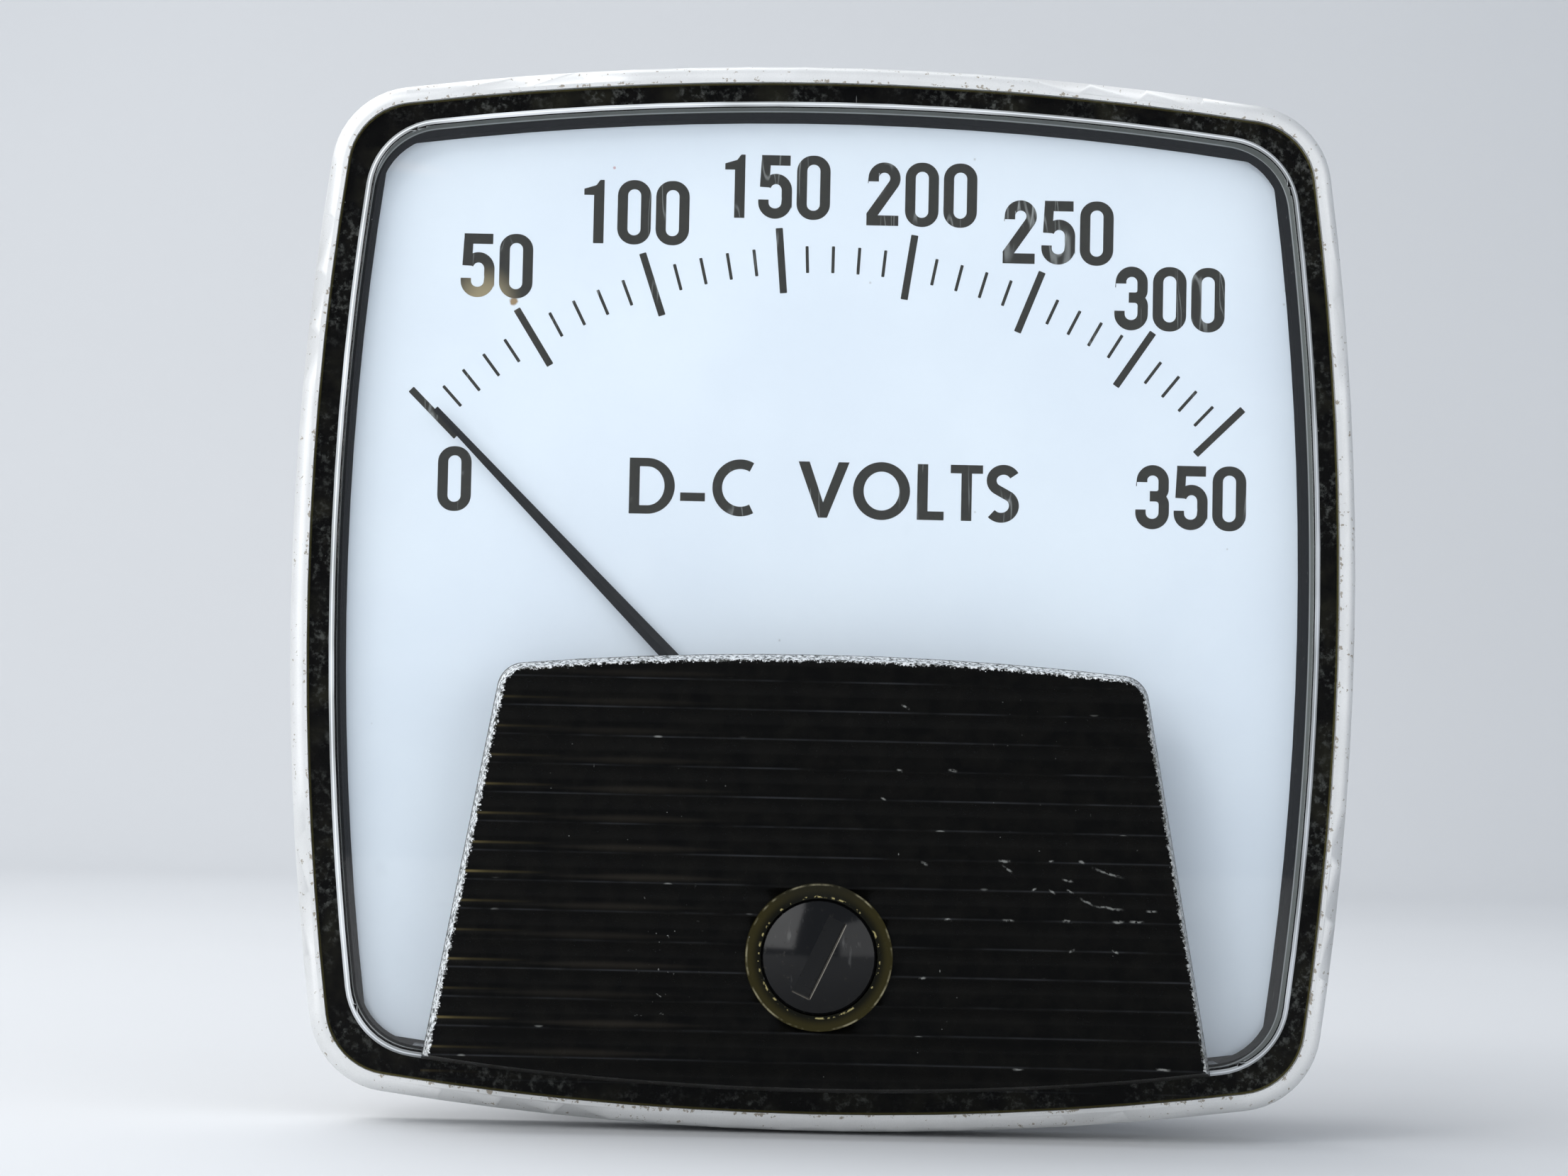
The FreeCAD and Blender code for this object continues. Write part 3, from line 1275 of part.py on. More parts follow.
def make_panel_studs():
    stud = new_body("panel_studs")
    head_back = d.flange_thick - d.stud_head_thick
    turned(stud, d.stud_across, d.stud_across, [
        (-d.stud_length, 0), (d.flange_thick, 0), (d.flange_thick, d.stud_head_radius),
        (head_back, d.stud_head_radius), (head_back, d.stud_press_radius), (0, d.stud_press_radius),
        (0, d.stud_neck_radius), (-d.stud_neck, d.stud_neck_radius), (-d.stud_neck, d.stud_radius),
        (d.stud_lead_in - d.stud_length, d.stud_radius), (-d.stud_length, d.stud_radius - d.stud_lead_in)])
    twin = doc.addObject("Part::Mirroring", "stud_twin")
    twin.Source = stud
    twin.Normal = Vector(1, 0, 0)
    upper = doc.addObject("Part::Compound", "upper_studs")
    upper.Links = [stud, twin]
    lower = doc.addObject("Part::Mirroring", "lower_studs")
    lower.Source = upper
    lower.Normal = Vector(0, 0, 1)
    group = doc.addObject("Part::Compound", "stud_group")
    group.Links = [upper, lower]
    finished(group, "panel_studs")


make_case()
make_bezel_rim()
make_cover_gasket()
make_front_cover()
make_zero_adjuster()
make_dial()
make_movement_frame()
make_magnet_system()
make_bridges()
make_jewel_screws()
make_coil()
make_staffs()
make_pointer()
make_balance()
make_hairspring("front_hairspring", d.front_spring_forward)
make_hairspring("rear_hairspring", d.rear_spring_forward)
make_zero_lever()
make_rear_anchor()
make_pointer_stops()
make_terminals()
make_lead_wires()
make_panel_studs()
doc.recompute()

# Every object has to be sound before any file is written

for item in doc.Objects:
    broken = [word for word in item.State if word in ("Invalid", "Error")]
    if broken:
        raise RuntimeError(f"{item.Name} ({item.Label}) is {broken[0].lower()}")
os.makedirs("parts", exist_ok=True)
for piece in PARTS:
    if piece.Shape.isNull() or not piece.Shape.isValid() or not piece.Shape.Solids:
        raise RuntimeError(f"{piece.Label} has no sound shape")
for piece in PARTS:
    piece.Shape.exportStep(f"parts/{piece.Label}.step")
    box = piece.Shape.BoundBox
    print(f"{piece.Label:24s} solids {len(piece.Shape.Solids)}  volume {piece.Shape.Volume:10.2f}  "
          f"x {box.XMin:7.2f} {box.XMax:7.2f}  y {box.YMin:7.2f} {box.YMax:7.2f}  "
          f"z {box.ZMin:7.2f} {box.ZMax:7.2f}")
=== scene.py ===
# %% [markdown]
# # A square panel voltmeter
#
# The real object is a panel meter with a clear front, a white dial and a black pointer. Its solids come
# from a CAD model, and this lesson gives them their looks: satin metal, clear plastic with paint on it,
# printed figures and the small wear of years. All lengths below are given in millimetres and turned into
# metres where Blender needs them, because a drawing of such a meter would be in millimetres too.

# %% Load the frame
import math
from collections import namedtuple

import bpy
from mathutils import Matrix, Vector


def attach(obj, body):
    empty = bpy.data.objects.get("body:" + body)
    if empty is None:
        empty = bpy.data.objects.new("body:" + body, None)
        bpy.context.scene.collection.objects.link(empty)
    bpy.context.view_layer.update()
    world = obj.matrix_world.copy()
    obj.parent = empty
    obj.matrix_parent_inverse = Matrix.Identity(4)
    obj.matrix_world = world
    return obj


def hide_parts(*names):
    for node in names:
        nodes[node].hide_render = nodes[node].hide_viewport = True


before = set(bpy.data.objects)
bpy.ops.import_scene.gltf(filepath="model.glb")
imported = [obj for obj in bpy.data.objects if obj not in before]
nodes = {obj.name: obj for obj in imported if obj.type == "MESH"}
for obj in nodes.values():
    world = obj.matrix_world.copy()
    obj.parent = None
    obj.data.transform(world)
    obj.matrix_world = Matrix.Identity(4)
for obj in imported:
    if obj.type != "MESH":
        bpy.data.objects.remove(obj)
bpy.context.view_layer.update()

MM = 0.001
PER_METRE = 1000.0
print("CAD nodes:", len(nodes))

# %% [markdown]
# ## The camera
#
# The photograph was taken with a long lens from about 0.37 m, a little below the middle of the dial and
# looking slightly up. A camera that is turned by three small angles is easier to match than one that is
# aimed at a point, because the roll of the picture is one of the angles. The picture was cropped from a
# larger one, so the lens's axis isn't in the middle of it, and the camera's shift gives that offset.

# %% Camera
CAMERA_PLACE = (-14.87, -367.65, -13.89)
CAMERA_TURN = (93.521, -1.302, 0.160)
CROPPED = (215.0, -133.0)
SENSOR_WIDTH = 36.0
PHOTO_WIDTH = 2212.0
FOCAL_PIXELS = 6000.0

bpy.ops.object.select_all(action="DESELECT")
bpy.ops.object.camera_add(location=Vector(CAMERA_PLACE) * MM,
                          rotation=[math.radians(angle) for angle in CAMERA_TURN])
camera = bpy.context.object
camera.name = "camera"
camera.data.sensor_width = SENSOR_WIDTH
camera.data.lens = FOCAL_PIXELS / PHOTO_WIDTH * SENSOR_WIDTH
camera.data.shift_x = CROPPED[0] / PHOTO_WIDTH
camera.data.shift_y = CROPPED[1] / PHOTO_WIDTH
camera.data.clip_start = 0.01
bpy.context.scene.camera = camera
print("lens in mm:", round(camera.data.lens, 2))

# %% [markdown]
# ## Shader maths as expressions
#
# A pattern such as worn paint is a formula over the surface. Wiring Math nodes by hand hides the formula,
# so a small class wraps a socket and lets Python's operators add the nodes. One method makes every other
# kind of node: its settings are set first, and then the values or links of its sockets.

# %% Field and Finish
class Field:
    """A number or colour that changes over a surface."""

    def __init__(self, finish, socket):
        self.finish = finish
        self.socket = socket

    def maths(self, operation, *values):
        return self.finish.node("Math", {"operation": operation}, dict(enumerate((self, *values))))

    def __add__(self, other):
        return self.maths("ADD", other)

    def __sub__(self, other):
        return self.maths("SUBTRACT", other)

    def __mul__(self, other):
        return self.maths("MULTIPLY", other)

    def __truediv__(self, other):
        return self.maths("DIVIDE", other)

    def __radd__(self, other):
        return self + other

    def __rsub__(self, other):
        return self.finish.node("Math", {"operation": "SUBTRACT"}, {0: other, 1: self})

    def __rmul__(self, other):
        return self * other

    def __abs__(self):
        return self.maths("ABSOLUTE")

    def most(self, other):
        return self.maths("MAXIMUM", other)

    def least(self, other):
        return self.maths("MINIMUM", other)

    def ease(self, low, high):
        """0 below low, 1 above high, with a smooth step between."""
        return self.finish.node("MapRange", {"interpolation_type": "SMOOTHSTEP", "clamp": True},
                                {"Value": self, "From Min": low, "From Max": high})


class Finish:
    """A material that is built up from fields."""

    def __init__(self, name):
        self.material = bpy.data.materials.new(name)
        self.material.use_nodes = True
        self.tree = self.material.node_tree
        self.tree.nodes.clear()

    def node(self, kind, settings=None, sockets=None, output=0):
        made = self.tree.nodes.new("ShaderNode" + kind)
        for key, value in (settings or {}).items():
            setattr(made, key, value)
        for key, value in (sockets or {}).items():
            if isinstance(value, Field):
                self.tree.links.new(value.socket, made.inputs[key])
            else:
                made.inputs[key].default_value = value
        return Field(self, made.outputs[output])

    def place(self):
        """The place on the object in millimetres: across, up, and forward towards the reader."""
        spot = self.node("TexCoord", output="Object")
        split = self.node("SeparateXYZ", None, {0: spot})
        right, back, up = [Field(self, socket) for socket in split.socket.node.outputs]
        return right * PER_METRE, up * PER_METRE, back * -PER_METRE

    def spot(self, stretch=(1.0, 1.0, 1.0), turn=(0.0, 0.0, 0.0)):
        """Object coordinates in millimetres, stretched or turned, as a vector for a texture."""
        source = self.node("TexCoord", output="Object")
        scale = [PER_METRE * factor for factor in stretch]
        angles = [math.radians(angle) for angle in turn]
        return self.node("Mapping", None, {"Vector": source, "Scale": scale, "Rotation": angles})

    def noise(self, size, detail=3.0, stretch=(1.0, 1.0, 1.0), turn=(0.0, 0.0, 0.0), roughness=0.55):
        """Noise from 0 to 1 whose features are about a size in millimetres."""
        return self.node("TexNoise", None, {"Vector": self.spot(stretch, turn), "Scale": 1.0 / size,
                                            "Detail": detail, "Roughness": roughness})

    def cells(self, size, stretch=(1.0, 1.0, 1.0), turn=(0.0, 0.0, 0.0)):
        """Distance to the nearest of scattered points, which are about a size apart."""
        return self.node("TexVoronoi", {"feature": "F1"},
                         {"Vector": self.spot(stretch, turn), "Scale": 1.0 / size}, "Distance")

    def blend(self, factor, first, second):
        """First colour where the factor is 0, second where it is 1."""
        made = self.node("Mix", {"data_type": "RGBA"}, {0: factor})
        node = made.socket.node
        for index, colour in ((6, first), (7, second)):
            if isinstance(colour, Field):
                self.tree.links.new(colour.socket, node.inputs[index])
            else:
                node.inputs[index].default_value = (*colour, 1.0)
        return Field(self, node.outputs[2])

    def bump(self, height, distance, strength=1.0):
        """Normals from a height field of 0 to 1 that stands a distance in millimetres tall."""
        return self.node("Bump", None, {"Strength": strength, "Distance": distance * MM, "Height": height})

    def principled(self, **sockets):
        named = {key.replace("_", " "): value for key, value in sockets.items()}
        for key, value in named.items():
            if isinstance(value, tuple) and len(value) == 3:
                named[key] = (*value, 1.0)
        return self.node("BsdfPrincipled", None, named)

    def show(self, shader):
        end = self.tree.nodes.new("ShaderNodeOutputMaterial")
        self.tree.links.new(shader.socket, end.inputs[0])
        return self.material


def dress(name, material):
    """Give a CAD node its finish."""
    piece = nodes[name]
    if not piece.material_slots:
        piece.data.materials.append(material)
    for slot in piece.material_slots:
        slot.material = material


# %% [markdown]
# ## The face's outlines as formulas
#
# Rim, band, window and dial all follow one outline: a square with four bowed sides and round corners. Its
# distance can be worked out at any point from circles: the farther of two sides, rounded where both meet.
# The same formula then paints every region that follows the outline, with no unwrapping.

# %% Distances from the outlines
FACE_HALF, FACE_BOW, FACE_CORNER = 45.0, 265.0, 7.2
WINDOW_INSET, WINDOW_CORNER = 3.5, 6.5
BAND_FRONT, LIP_START, LEDGE = 8.3, 10.9, 6.5
MASK_TOP, MASK_SHOULDER, MASK_TOP_HALF, MASK_FOOT_HALF, MASK_FOOT_UP = -5.1, -6.5, 26.9, 32.8, -39.3
MASK_CORNER = 2.4
MASK_RUN = (MASK_FOOT_HALF - MASK_TOP_HALF) / (MASK_SHOULDER - MASK_FOOT_UP)
FLUTE_PITCH = 2.42
ADJUSTER_UP, COLLAR_RADIUS, COLLAR_HOLE = -30.2, 6.1, 4.85
SHARP = 0.001
SETTLING_ROUNDS = 20


def length_of(first, second):
    return (first * first + second * second).maths("SQRT")


def round_corner(side, top, right, up, centre, radius, side_way, top_way):
    """The larger of two distances, and between their two directions the distance from a corner's circle."""
    from_right, from_up = right - centre[0], up - centre[1]
    past_side = (from_up * side_way[0] - from_right * side_way[1]).ease(0.0, SHARP)
    past_top = (from_right * top_way[1] - from_up * top_way[0]).ease(0.0, SHARP)
    in_corner = past_side * past_top
    corner = length_of(from_right, from_up) - radius
    return in_corner * corner + (1.0 - in_corner) * side.most(top)


def bowed_distance(across, up, inset, corner):
    """How far a point is outside the face's outline drawn in by an inset. Inside it is negative."""
    half, bow = FACE_HALF - inset, FACE_BOW - inset
    reach = bow - half
    right, height = abs(across), abs(up)
    side = length_of(right + reach, height) - bow
    top = length_of(height + reach, right) - bow
    inner = bow - corner
    middle = (math.sqrt(2.0 * inner * inner - reach * reach) - reach) / 2.0
    return round_corner(side, top, right, height, (middle, middle), corner,
                        (middle + reach, middle), (middle, middle + reach))


def mask_distance(across, up):
    """How far a point is outside the fluted mask's top and sides.

    The centre of the corner's circle depends on where the bowed top is above it, so it settles in rounds.
    """
    lean = 1.0 / math.sqrt(1.0 + MASK_RUN * MASK_RUN)
    right = abs(across)
    side = (right - MASK_TOP_HALF + (up - MASK_SHOULDER) * MASK_RUN) * lean
    top = length_of(across, up - MASK_TOP + FACE_BOW) - FACE_BOW
    middle, height = MASK_TOP_HALF, MASK_SHOULDER
    for _ in range(SETTLING_ROUNDS):
        middle = MASK_TOP_HALF - (height - MASK_SHOULDER) * MASK_RUN - MASK_CORNER / lean
        height = MASK_TOP - FACE_BOW + math.sqrt((FACE_BOW - MASK_CORNER) ** 2 - middle * middle)
    return round_corner(side, top, right, up, (middle, height), MASK_CORNER, (1.0, MASK_RUN),
                        (middle, height - MASK_TOP + FACE_BOW))


def adjuster_distance(across, up):
    return length_of(across, up - ADJUSTER_UP)


# %% [markdown]
# ## Painted parts of the cover
#
# The front is one clear moulding, and only the window stays clear. The band round it and the fluted block
# are black, and the block's slanting edge is a bright strip, painted in for the light that its bare clear
# plastic gathers. One shader could mix clear plastic and paint by place, but it would be worked out again for
# every ray through the window, so each face of the moulding gets one of three finishes instead: painted,
# window pane or window wall. The paint is built up in layers: the black coat, film and haze on the band,
# painted light on the flutes and behind the window's lip, then scratches and dust.

# %% Painted finish
PAINT_BLACK, PAINT_WORN = (0.0016, 0.0016, 0.0015), (0.0036, 0.0034, 0.0028)
BAND_OLIVE, BAND_DUST = (0.024, 0.023, 0.014), (0.12, 0.125, 0.115)
BAND_EDGE, BAND_EDGE_WIDTH, BAND_EDGE_OLIVE = -1.52, 0.16, (0.10, 0.088, 0.030)
EDGE_GOLD, LENS_BROWN, CREST_BLUE = (0.19, 0.150, 0.06), (0.09, 0.075, 0.055), (0.16, 0.17, 0.19)
CREST_ROW, LENS_ROW, STREAK_ROW = 0.03, 0.20, 0.30
LIP_FOOT, LIP_LINE, LIP_LINE_WIDTH = -0.48, -0.40, 0.07
LIP_GREEN, LIP_SILVER = (0.20, 0.215, 0.20), (0.50, 0.52, 0.52)
COLLAR_DEEP, COLLAR_OLIVE, COLLAR_SHADE = (0.004, 0.004, 0.002), (0.024, 0.020, 0.0055), (0.010, 0.010, 0.008)
COLLAR_HIGHLIGHT, COLLAR_GLINT = (0.34, 0.31, 0.20), (0.42, 0.36, 0.16)
STRIP_WIDTH, STRIP_RAGGED = 0.62, 1.1
STRIP_DARK, STRIP_BRIGHT, STRIP_LINE = (0.05, 0.052, 0.045), (0.82, 0.84, 0.85), (0.05, 0.05, 0.045)
MARK_GREY = (0.38, 0.39, 0.37)

# turn in degrees, size and width of each family of fine scratches
HAIR_SCRATCHES = ((12, 2.6, 0.022), (-28, 3.1, 0.018), (64, 2.2, 0.024), (100, 3.6, 0.016))

# across, up, half length and slope of each scuff on the mask
SCUFFS = (
    (15.2, -21.93, 0.62, -0.05), (19.1, -21.90, 0.27, 0.02), (21.6, -21.86, 0.31, -0.10),
    (8.6, -22.28, 0.36, -0.37), (15.5, -22.56, 0.56, -0.75), (23.8, -22.74, 1.49, -0.29),
    (20.5, -23.43, 0.55, -0.31), (19.2, -24.38, 0.31, -0.5), (20.7, -24.32, 0.36, -0.57),
    (17.7, -24.20, 0.27, 0.40), (22.1, -25.15, 0.66, -0.57), (23.9, -25.62, 1.43, -0.12),
    (27.5, -25.85, 0.54, -0.06), (10.6, -26.84, 0.38, -0.07), (15.6, -26.85, 0.57, -0.08),
    (20.5, -26.80, 0.50, 0.0), (24.7, -26.73, 0.59, 0.02), (26.2, -26.70, 0.74, -0.05),
    (20.9, -29.17, 0.30, 0.5), (24.5, -29.17, 0.33, -0.31), (8.6, -31.73, 0.37, 0.02),
    (28.6, -38.83, 0.71, -0.02), (16.6, -39.08, 0.53, 0.02), (10.8, -14.53, 0.43, -0.05),
    (6.4, -14.65, 0.29, -0.26), (6.8, -9.35, 0.40, -0.41), (5.1, -17.01, 0.27, -0.34))
SCUFF_WIDTH = 0.15

# centre and reach, across and up, of the small peppered patch at the left of the zero screw
PEPPER_ACROSS, PEPPER_UP = (-13.0, 4.0), (-31.0, 10.0)


def beside(value, centre, width):
    """1 at a centre, falling to 0 within a width of it."""
    return 1.0 - abs(value - centre).ease(0.0, width)


def ticks(finish, families, cover=0.5):
    """Short scratches: stretched cells at a few angles, in some patches only."""
    total = 0.0
    for index, (turn, size, width) in enumerate(families):
        cells = finish.cells(size, stretch=(1.0, 1.0, 0.12), turn=(0, turn, 0))
        line = 1.0 - cells.ease(width * 0.5, width)
        patch = finish.noise(5.0 + index, detail=2.0, turn=(0, 0, 10 + index)).ease(cover, cover + 0.08)
        total = line * patch + total
    return total.least(1.0)


def scuffs_on_mask(finish, across, up):
    """The placed scuffs, each wandering a little and broken up, and the peppered patch."""
    wander = (finish.noise(0.8, detail=2.0) - 0.5) * 0.3
    scuff = finish.noise(0.5, detail=5.0, turn=(0, 30, 0)).ease(0.66, 0.72)
    scuff = scuff * beside(across, *PEPPER_ACROSS) * beside(up, *PEPPER_UP)
    for right, height, half, slope in SCUFFS:
        along = across - right
        level = up + wander - along * slope
        scuff = scuff.most(beside(level, height, SCUFF_WIDTH) * beside(along, 0.0, half))
    broken = finish.noise(0.3, detail=3.0).ease(0.38, 0.58)
    return (scuff * 1.6 * broken).least(1.0)


def weather_band(finish, black, on_band):
    """An olive film and a dusty haze on the band round the window."""
    film = on_band * finish.noise(4.0, detail=4.0).ease(0.45, 0.75)
    black = finish.blend(film * 0.45, black, BAND_OLIVE)
    haze = finish.noise(0.7, detail=5.0, roughness=0.7).ease(0.48, 0.72)
    haze = haze * finish.noise(7.0, detail=3.0).ease(0.38, 0.6)
    return finish.blend(haze * on_band * 0.6, black, BAND_DUST)


def paint_flute_light(finish, black, across, up, on_mask):
    """Painted light on the flutes: a painted gold glow carried in from the clear left edge, a painted brown
    reflection along each flute and faint painted blue highlights on the crests.

    It also gives the small chips along the crests, for the marks.
    """
    row = (up - MASK_TOP) / FLUTE_PITCH
    beat = row.maths("FRACT")
    chance = finish.node("TexWhiteNoise", {"noise_dimensions": "1D"}, {"W": row.maths("FLOOR")}, "Value")
    inward = across + MASK_TOP_HALF - (up - MASK_SHOULDER) * MASK_RUN
    fade = (1.0 - inward.ease(0.5, 8.0)) * 0.6 + (1.0 - inward.ease(0.6, 2.6)) * 0.7
    painted_light_streak = beside(beat, STREAK_ROW, 0.07) * fade * (chance * chance + 0.2)
    bulge = beside(inward, 11.0 + chance * 5.0, 10.0)
    lens = beside(beat, LENS_ROW, 0.03 + bulge * 0.16) * bulge * (chance * 0.6 + 0.4)
    chips = 1.0 - finish.cells(1.6, stretch=(0.45, 1.0, 1.0)).ease(0.06, 0.14)
    chips = chips * beside(beat, CREST_ROW, 0.10) * finish.noise(6.0, detail=2.0).ease(0.42, 0.56)
    crest_highlight_breakup = finish.noise(3.0, detail=4.0, stretch=(0.4, 1.0, 1.0)).ease(0.35, 0.75)
    crest = beside(beat, CREST_ROW, 0.055) * crest_highlight_breakup
    # Painted glow, painted reflections and painted crest highlights are laid into the black here.
    black = finish.blend(painted_light_streak * 0.42 * on_mask, black, EDGE_GOLD)
    black = finish.blend(lens * 0.13 * on_mask, black, LENS_BROWN)
    black = finish.blend(crest * 0.13 * on_mask, black, CREST_BLUE)
    return black, chips * on_mask


def olive_collar(finish, up, ring):
    """Olive plastic with painted shade at its top, a thin broken painted highlight along its outline and
    painted glints round its hole.
    """
    film = finish.noise(1.6, detail=3.0)
    olive = finish.blend((ring - COLLAR_HOLE).ease(0.1, 0.9), COLLAR_DEEP, COLLAR_OLIVE)
    # Painted shade darkens the collar's top; a painted highlight follows its outline and painted glints sit
    # round the hole.
    olive = finish.blend(beside(up, ADJUSTER_UP + COLLAR_RADIUS, 2.6) * 0.7, olive, COLLAR_SHADE)
    outline = beside(ring, COLLAR_RADIUS - 0.1, 0.12) * film.ease(0.42, 0.6)
    olive = finish.blend(outline * 0.6, olive, COLLAR_HIGHLIGHT)
    glint = beside(ring, COLLAR_HOLE + 0.16, 0.12) * finish.noise(0.45, detail=2.0).ease(0.55, 0.62)
    return finish.blend(glint * 0.8, olive, COLLAR_GLINT)


def bright_strip(finish, across, mask):
    """The mask's bare edge, painted bright for the light its clear plastic gathers: speckled, with painted
    shade at the right and a dark line along its outside.
    """
    spark = finish.noise(0.34, detail=4.0, roughness=0.7).ease(0.40, 0.58)
    # Painted shade: the strip is duller on its right side.
    lit_side = 1.0 - (across - MASK_TOP_HALF + 1.0).ease(-1.0, 1.5) * 0.55
    bright = finish.blend(spark * lit_side, STRIP_DARK, STRIP_BRIGHT)
    return finish.blend(beside(mask, -0.06, 0.09) * 0.8, bright, STRIP_LINE)


def make_paint_finish():
    finish = Finish("cover_paint")
    across, up, forward = finish.place()
    window = bowed_distance(across, up, WINDOW_INSET, WINDOW_CORNER)
    mask = mask_distance(across, up)
    ring = adjuster_distance(across, up)
    on_band = (window + 0.02).ease(-0.01, 0.01) * (1.0 - (forward - BAND_FRONT - 0.06).ease(-0.02, 0.02))
    on_mask = 1.0 - (mask + 0.04).ease(-0.01, 0.01)
    on_collar = 1.0 - (ring - COLLAR_RADIUS - 0.02).ease(-0.02, 0.02)
    behind_pane = 1.0 - (forward - LEDGE).ease(0.1, 0.3)
    in_pane = 1.0 - (window - 0.5).ease(0.0, 0.1)
    in_window = 1.0 - (window + 0.45).ease(0.0, 0.1)

    grain = finish.noise(2.0, detail=5.0)
    black = finish.blend(grain.ease(0.3, 0.7), PAINT_BLACK, PAINT_WORN)
    black = weather_band(finish, black, on_band)
    black, chips = paint_flute_light(finish, black, across, up, on_mask)
    # Painted light: behind the pane's outer edge the ledge is painted grey-green with a silver line, for the
    # shine of the window's lip.
    lip = behind_pane * (window - LIP_FOOT).ease(-0.04, 0.04) * in_pane * (1.0 - on_mask)
    glow = finish.blend(beside(window, LIP_LINE, LIP_LINE_WIDTH), LIP_GREEN, LIP_SILVER)
    black = finish.blend(lip, black, glow)
    face = bowed_distance(across, up, 0.0, FACE_CORNER)
    black = finish.blend(beside(face, BAND_EDGE, BAND_EDGE_WIDTH) * 0.7, black, BAND_EDGE_OLIVE)
    black = finish.blend(on_collar, black, olive_collar(finish, up, ring))

    hair = ticks(finish, HAIR_SCRATCHES)
    dust = (1.0 - finish.cells(1.3).ease(0.015, 0.055)) * finish.noise(9.0, detail=2.0).ease(0.5, 0.66)
    marks = hair * (behind_pane * 0.9 + 0.4) + dust * (behind_pane * 0.8 + 0.45)
    marks = (marks + scuffs_on_mask(finish, across, up) * 0.42 + chips * 0.4).least(0.85)
    black = finish.blend(marks, black, MARK_GREY)
    fleck = finish.noise(0.28, detail=3.0, roughness=0.7)
    # The mask's bare edge strip, painted light standing in for what its clear plastic gathers, with a ragged
    # inner edge.
    strip = on_mask * in_window * (mask + STRIP_WIDTH + (fleck - 0.5) * STRIP_RAGGED).ease(-0.05, 0.05)
    colour = finish.blend(strip, black, bright_strip(finish, across, mask))

    relief = finish.bump(fleck - marks, 0.015, 0.2)
    paint = finish.principled(Base_Color=colour, Roughness=0.20 + grain * 0.12 + marks * 0.3, Normal=relief,
                              Specular_IOR_Level=0.08)
    return finish.show(paint)


# %% [markdown]
# ## Window pane and window wall
#
# The pane is clear acrylic. A clear solid casts black shadows in a path tracer, so rays that look for a lamp
# or gather the room's light are let through it. The wall round the pane is seen edge on, where clear plastic
# gathers light: that shine on its rounded lip is painted in as a silvery line with painted highlights along
# its edges, and below it the wall looks black, because it shows the painted band.

# %% Pane and wall finishes
PANE_TINT, LAMP_TINT = (0.985, 0.99, 0.995), (0.96, 0.97, 0.98, 1.0)
WALL_BLACK, NICK_WHITE = (0.002, 0.002, 0.002), (0.45, 0.46, 0.44)
LIP_DULL, LIP_CLEAR, LIP_OUTLINE = (0.26, 0.27, 0.27), (0.62, 0.64, 0.66), (0.80, 0.83, 0.86)
NICKS = ((8, 1.6, 0.05), (-40, 2.1, 0.04), (75, 1.8, 0.05))


def let_lamps_through(finish, shader):
    through = finish.node("BsdfTransparent", None, {"Color": LAMP_TINT})
    to_lamp = finish.node("LightPath", output="Is Shadow Ray")
    to_room = finish.node("LightPath", output="Is Diffuse Ray")
    return finish.show(finish.node("MixShader", None, {0: to_lamp.most(to_room), 1: shader, 2: through}))


def make_pane_finish():
    finish = Finish("window_pane")
    acrylic = finish.principled(Base_Color=PANE_TINT, Roughness=0.02, IOR=1.49, Transmission_Weight=1.0)
    return let_lamps_through(finish, acrylic)


def make_wall_finish():
    finish = Finish("window_wall")
    across, up, forward = finish.place()
    window = bowed_distance(across, up, WINDOW_INSET, WINDOW_CORNER)
    # Painted light: above the lip's start the wall is painted silvery, with painted highlights along two
    # lines, for the shine of the clear lip.
    along = finish.noise(14.0, detail=3.0).ease(0.35, 0.7)
    painted_lip_shine = finish.blend(along, LIP_DULL, LIP_CLEAR)
    outlines = beside(window, -0.26, 0.10).most(beside(window, -0.62, 0.08))
    painted_lip_shine = finish.blend(outlines, painted_lip_shine, LIP_OUTLINE)
    nicks = ticks(finish, NICKS, cover=0.44)
    dots = (1.0 - finish.cells(1.1).ease(0.05, 0.11)) * finish.noise(5.0, detail=2.0).ease(0.48, 0.62)
    wall = finish.blend(nicks.most(dots) * 0.4, WALL_BLACK, NICK_WHITE)
    colour = finish.blend((forward - LIP_START).ease(0.0, 0.3), wall, painted_lip_shine)
    clouded = finish.principled(Base_Color=colour, Roughness=0.25, Specular_IOR_Level=0.0)
    return let_lamps_through(finish, clouded)


# %% [markdown]
# A face belongs to the pane when it is flat and stands at the pane's front or back. It belongs to the wall
# when it stands upright near the window's outline. Every other face is painted.

# %% Share out the cover's faces
PANE_FRONT, PANE_BACK, WALL_FOOT = 12.0, 10.2, 6.55
PAINTED, PANE, WALL = range(3)
WALL_REACH_IN, WALL_REACH_OUT = 3.2, 0.1
FLAT, UPRIGHT, TOUCH = 0.99, 0.95, 0.02


def part_of_cover(centre, normal):
    across, up, forward = abs(centre.x) / MM, centre.z / MM, -centre.y / MM
    if abs(normal.y) > FLAT and min(abs(forward - PANE_FRONT), abs(forward - PANE_BACK)) < TOUCH:
        return PANE
    bow = FACE_BOW - WINDOW_INSET
    reach = bow - FACE_HALF + WINDOW_INSET
    outside = max(math.hypot(across + reach, up), math.hypot(abs(up) + reach, across)) - bow
    on_mask = up < MASK_TOP and across < MASK_TOP_HALF - (up - MASK_SHOULDER) * MASK_RUN
    upright = abs(normal.y) < UPRIGHT and WALL_FOOT < forward < PANE_FRONT
    near_outline = -WALL_REACH_IN < outside < WALL_REACH_OUT
    return WALL if upright and near_outline and not on_mask else PAINTED


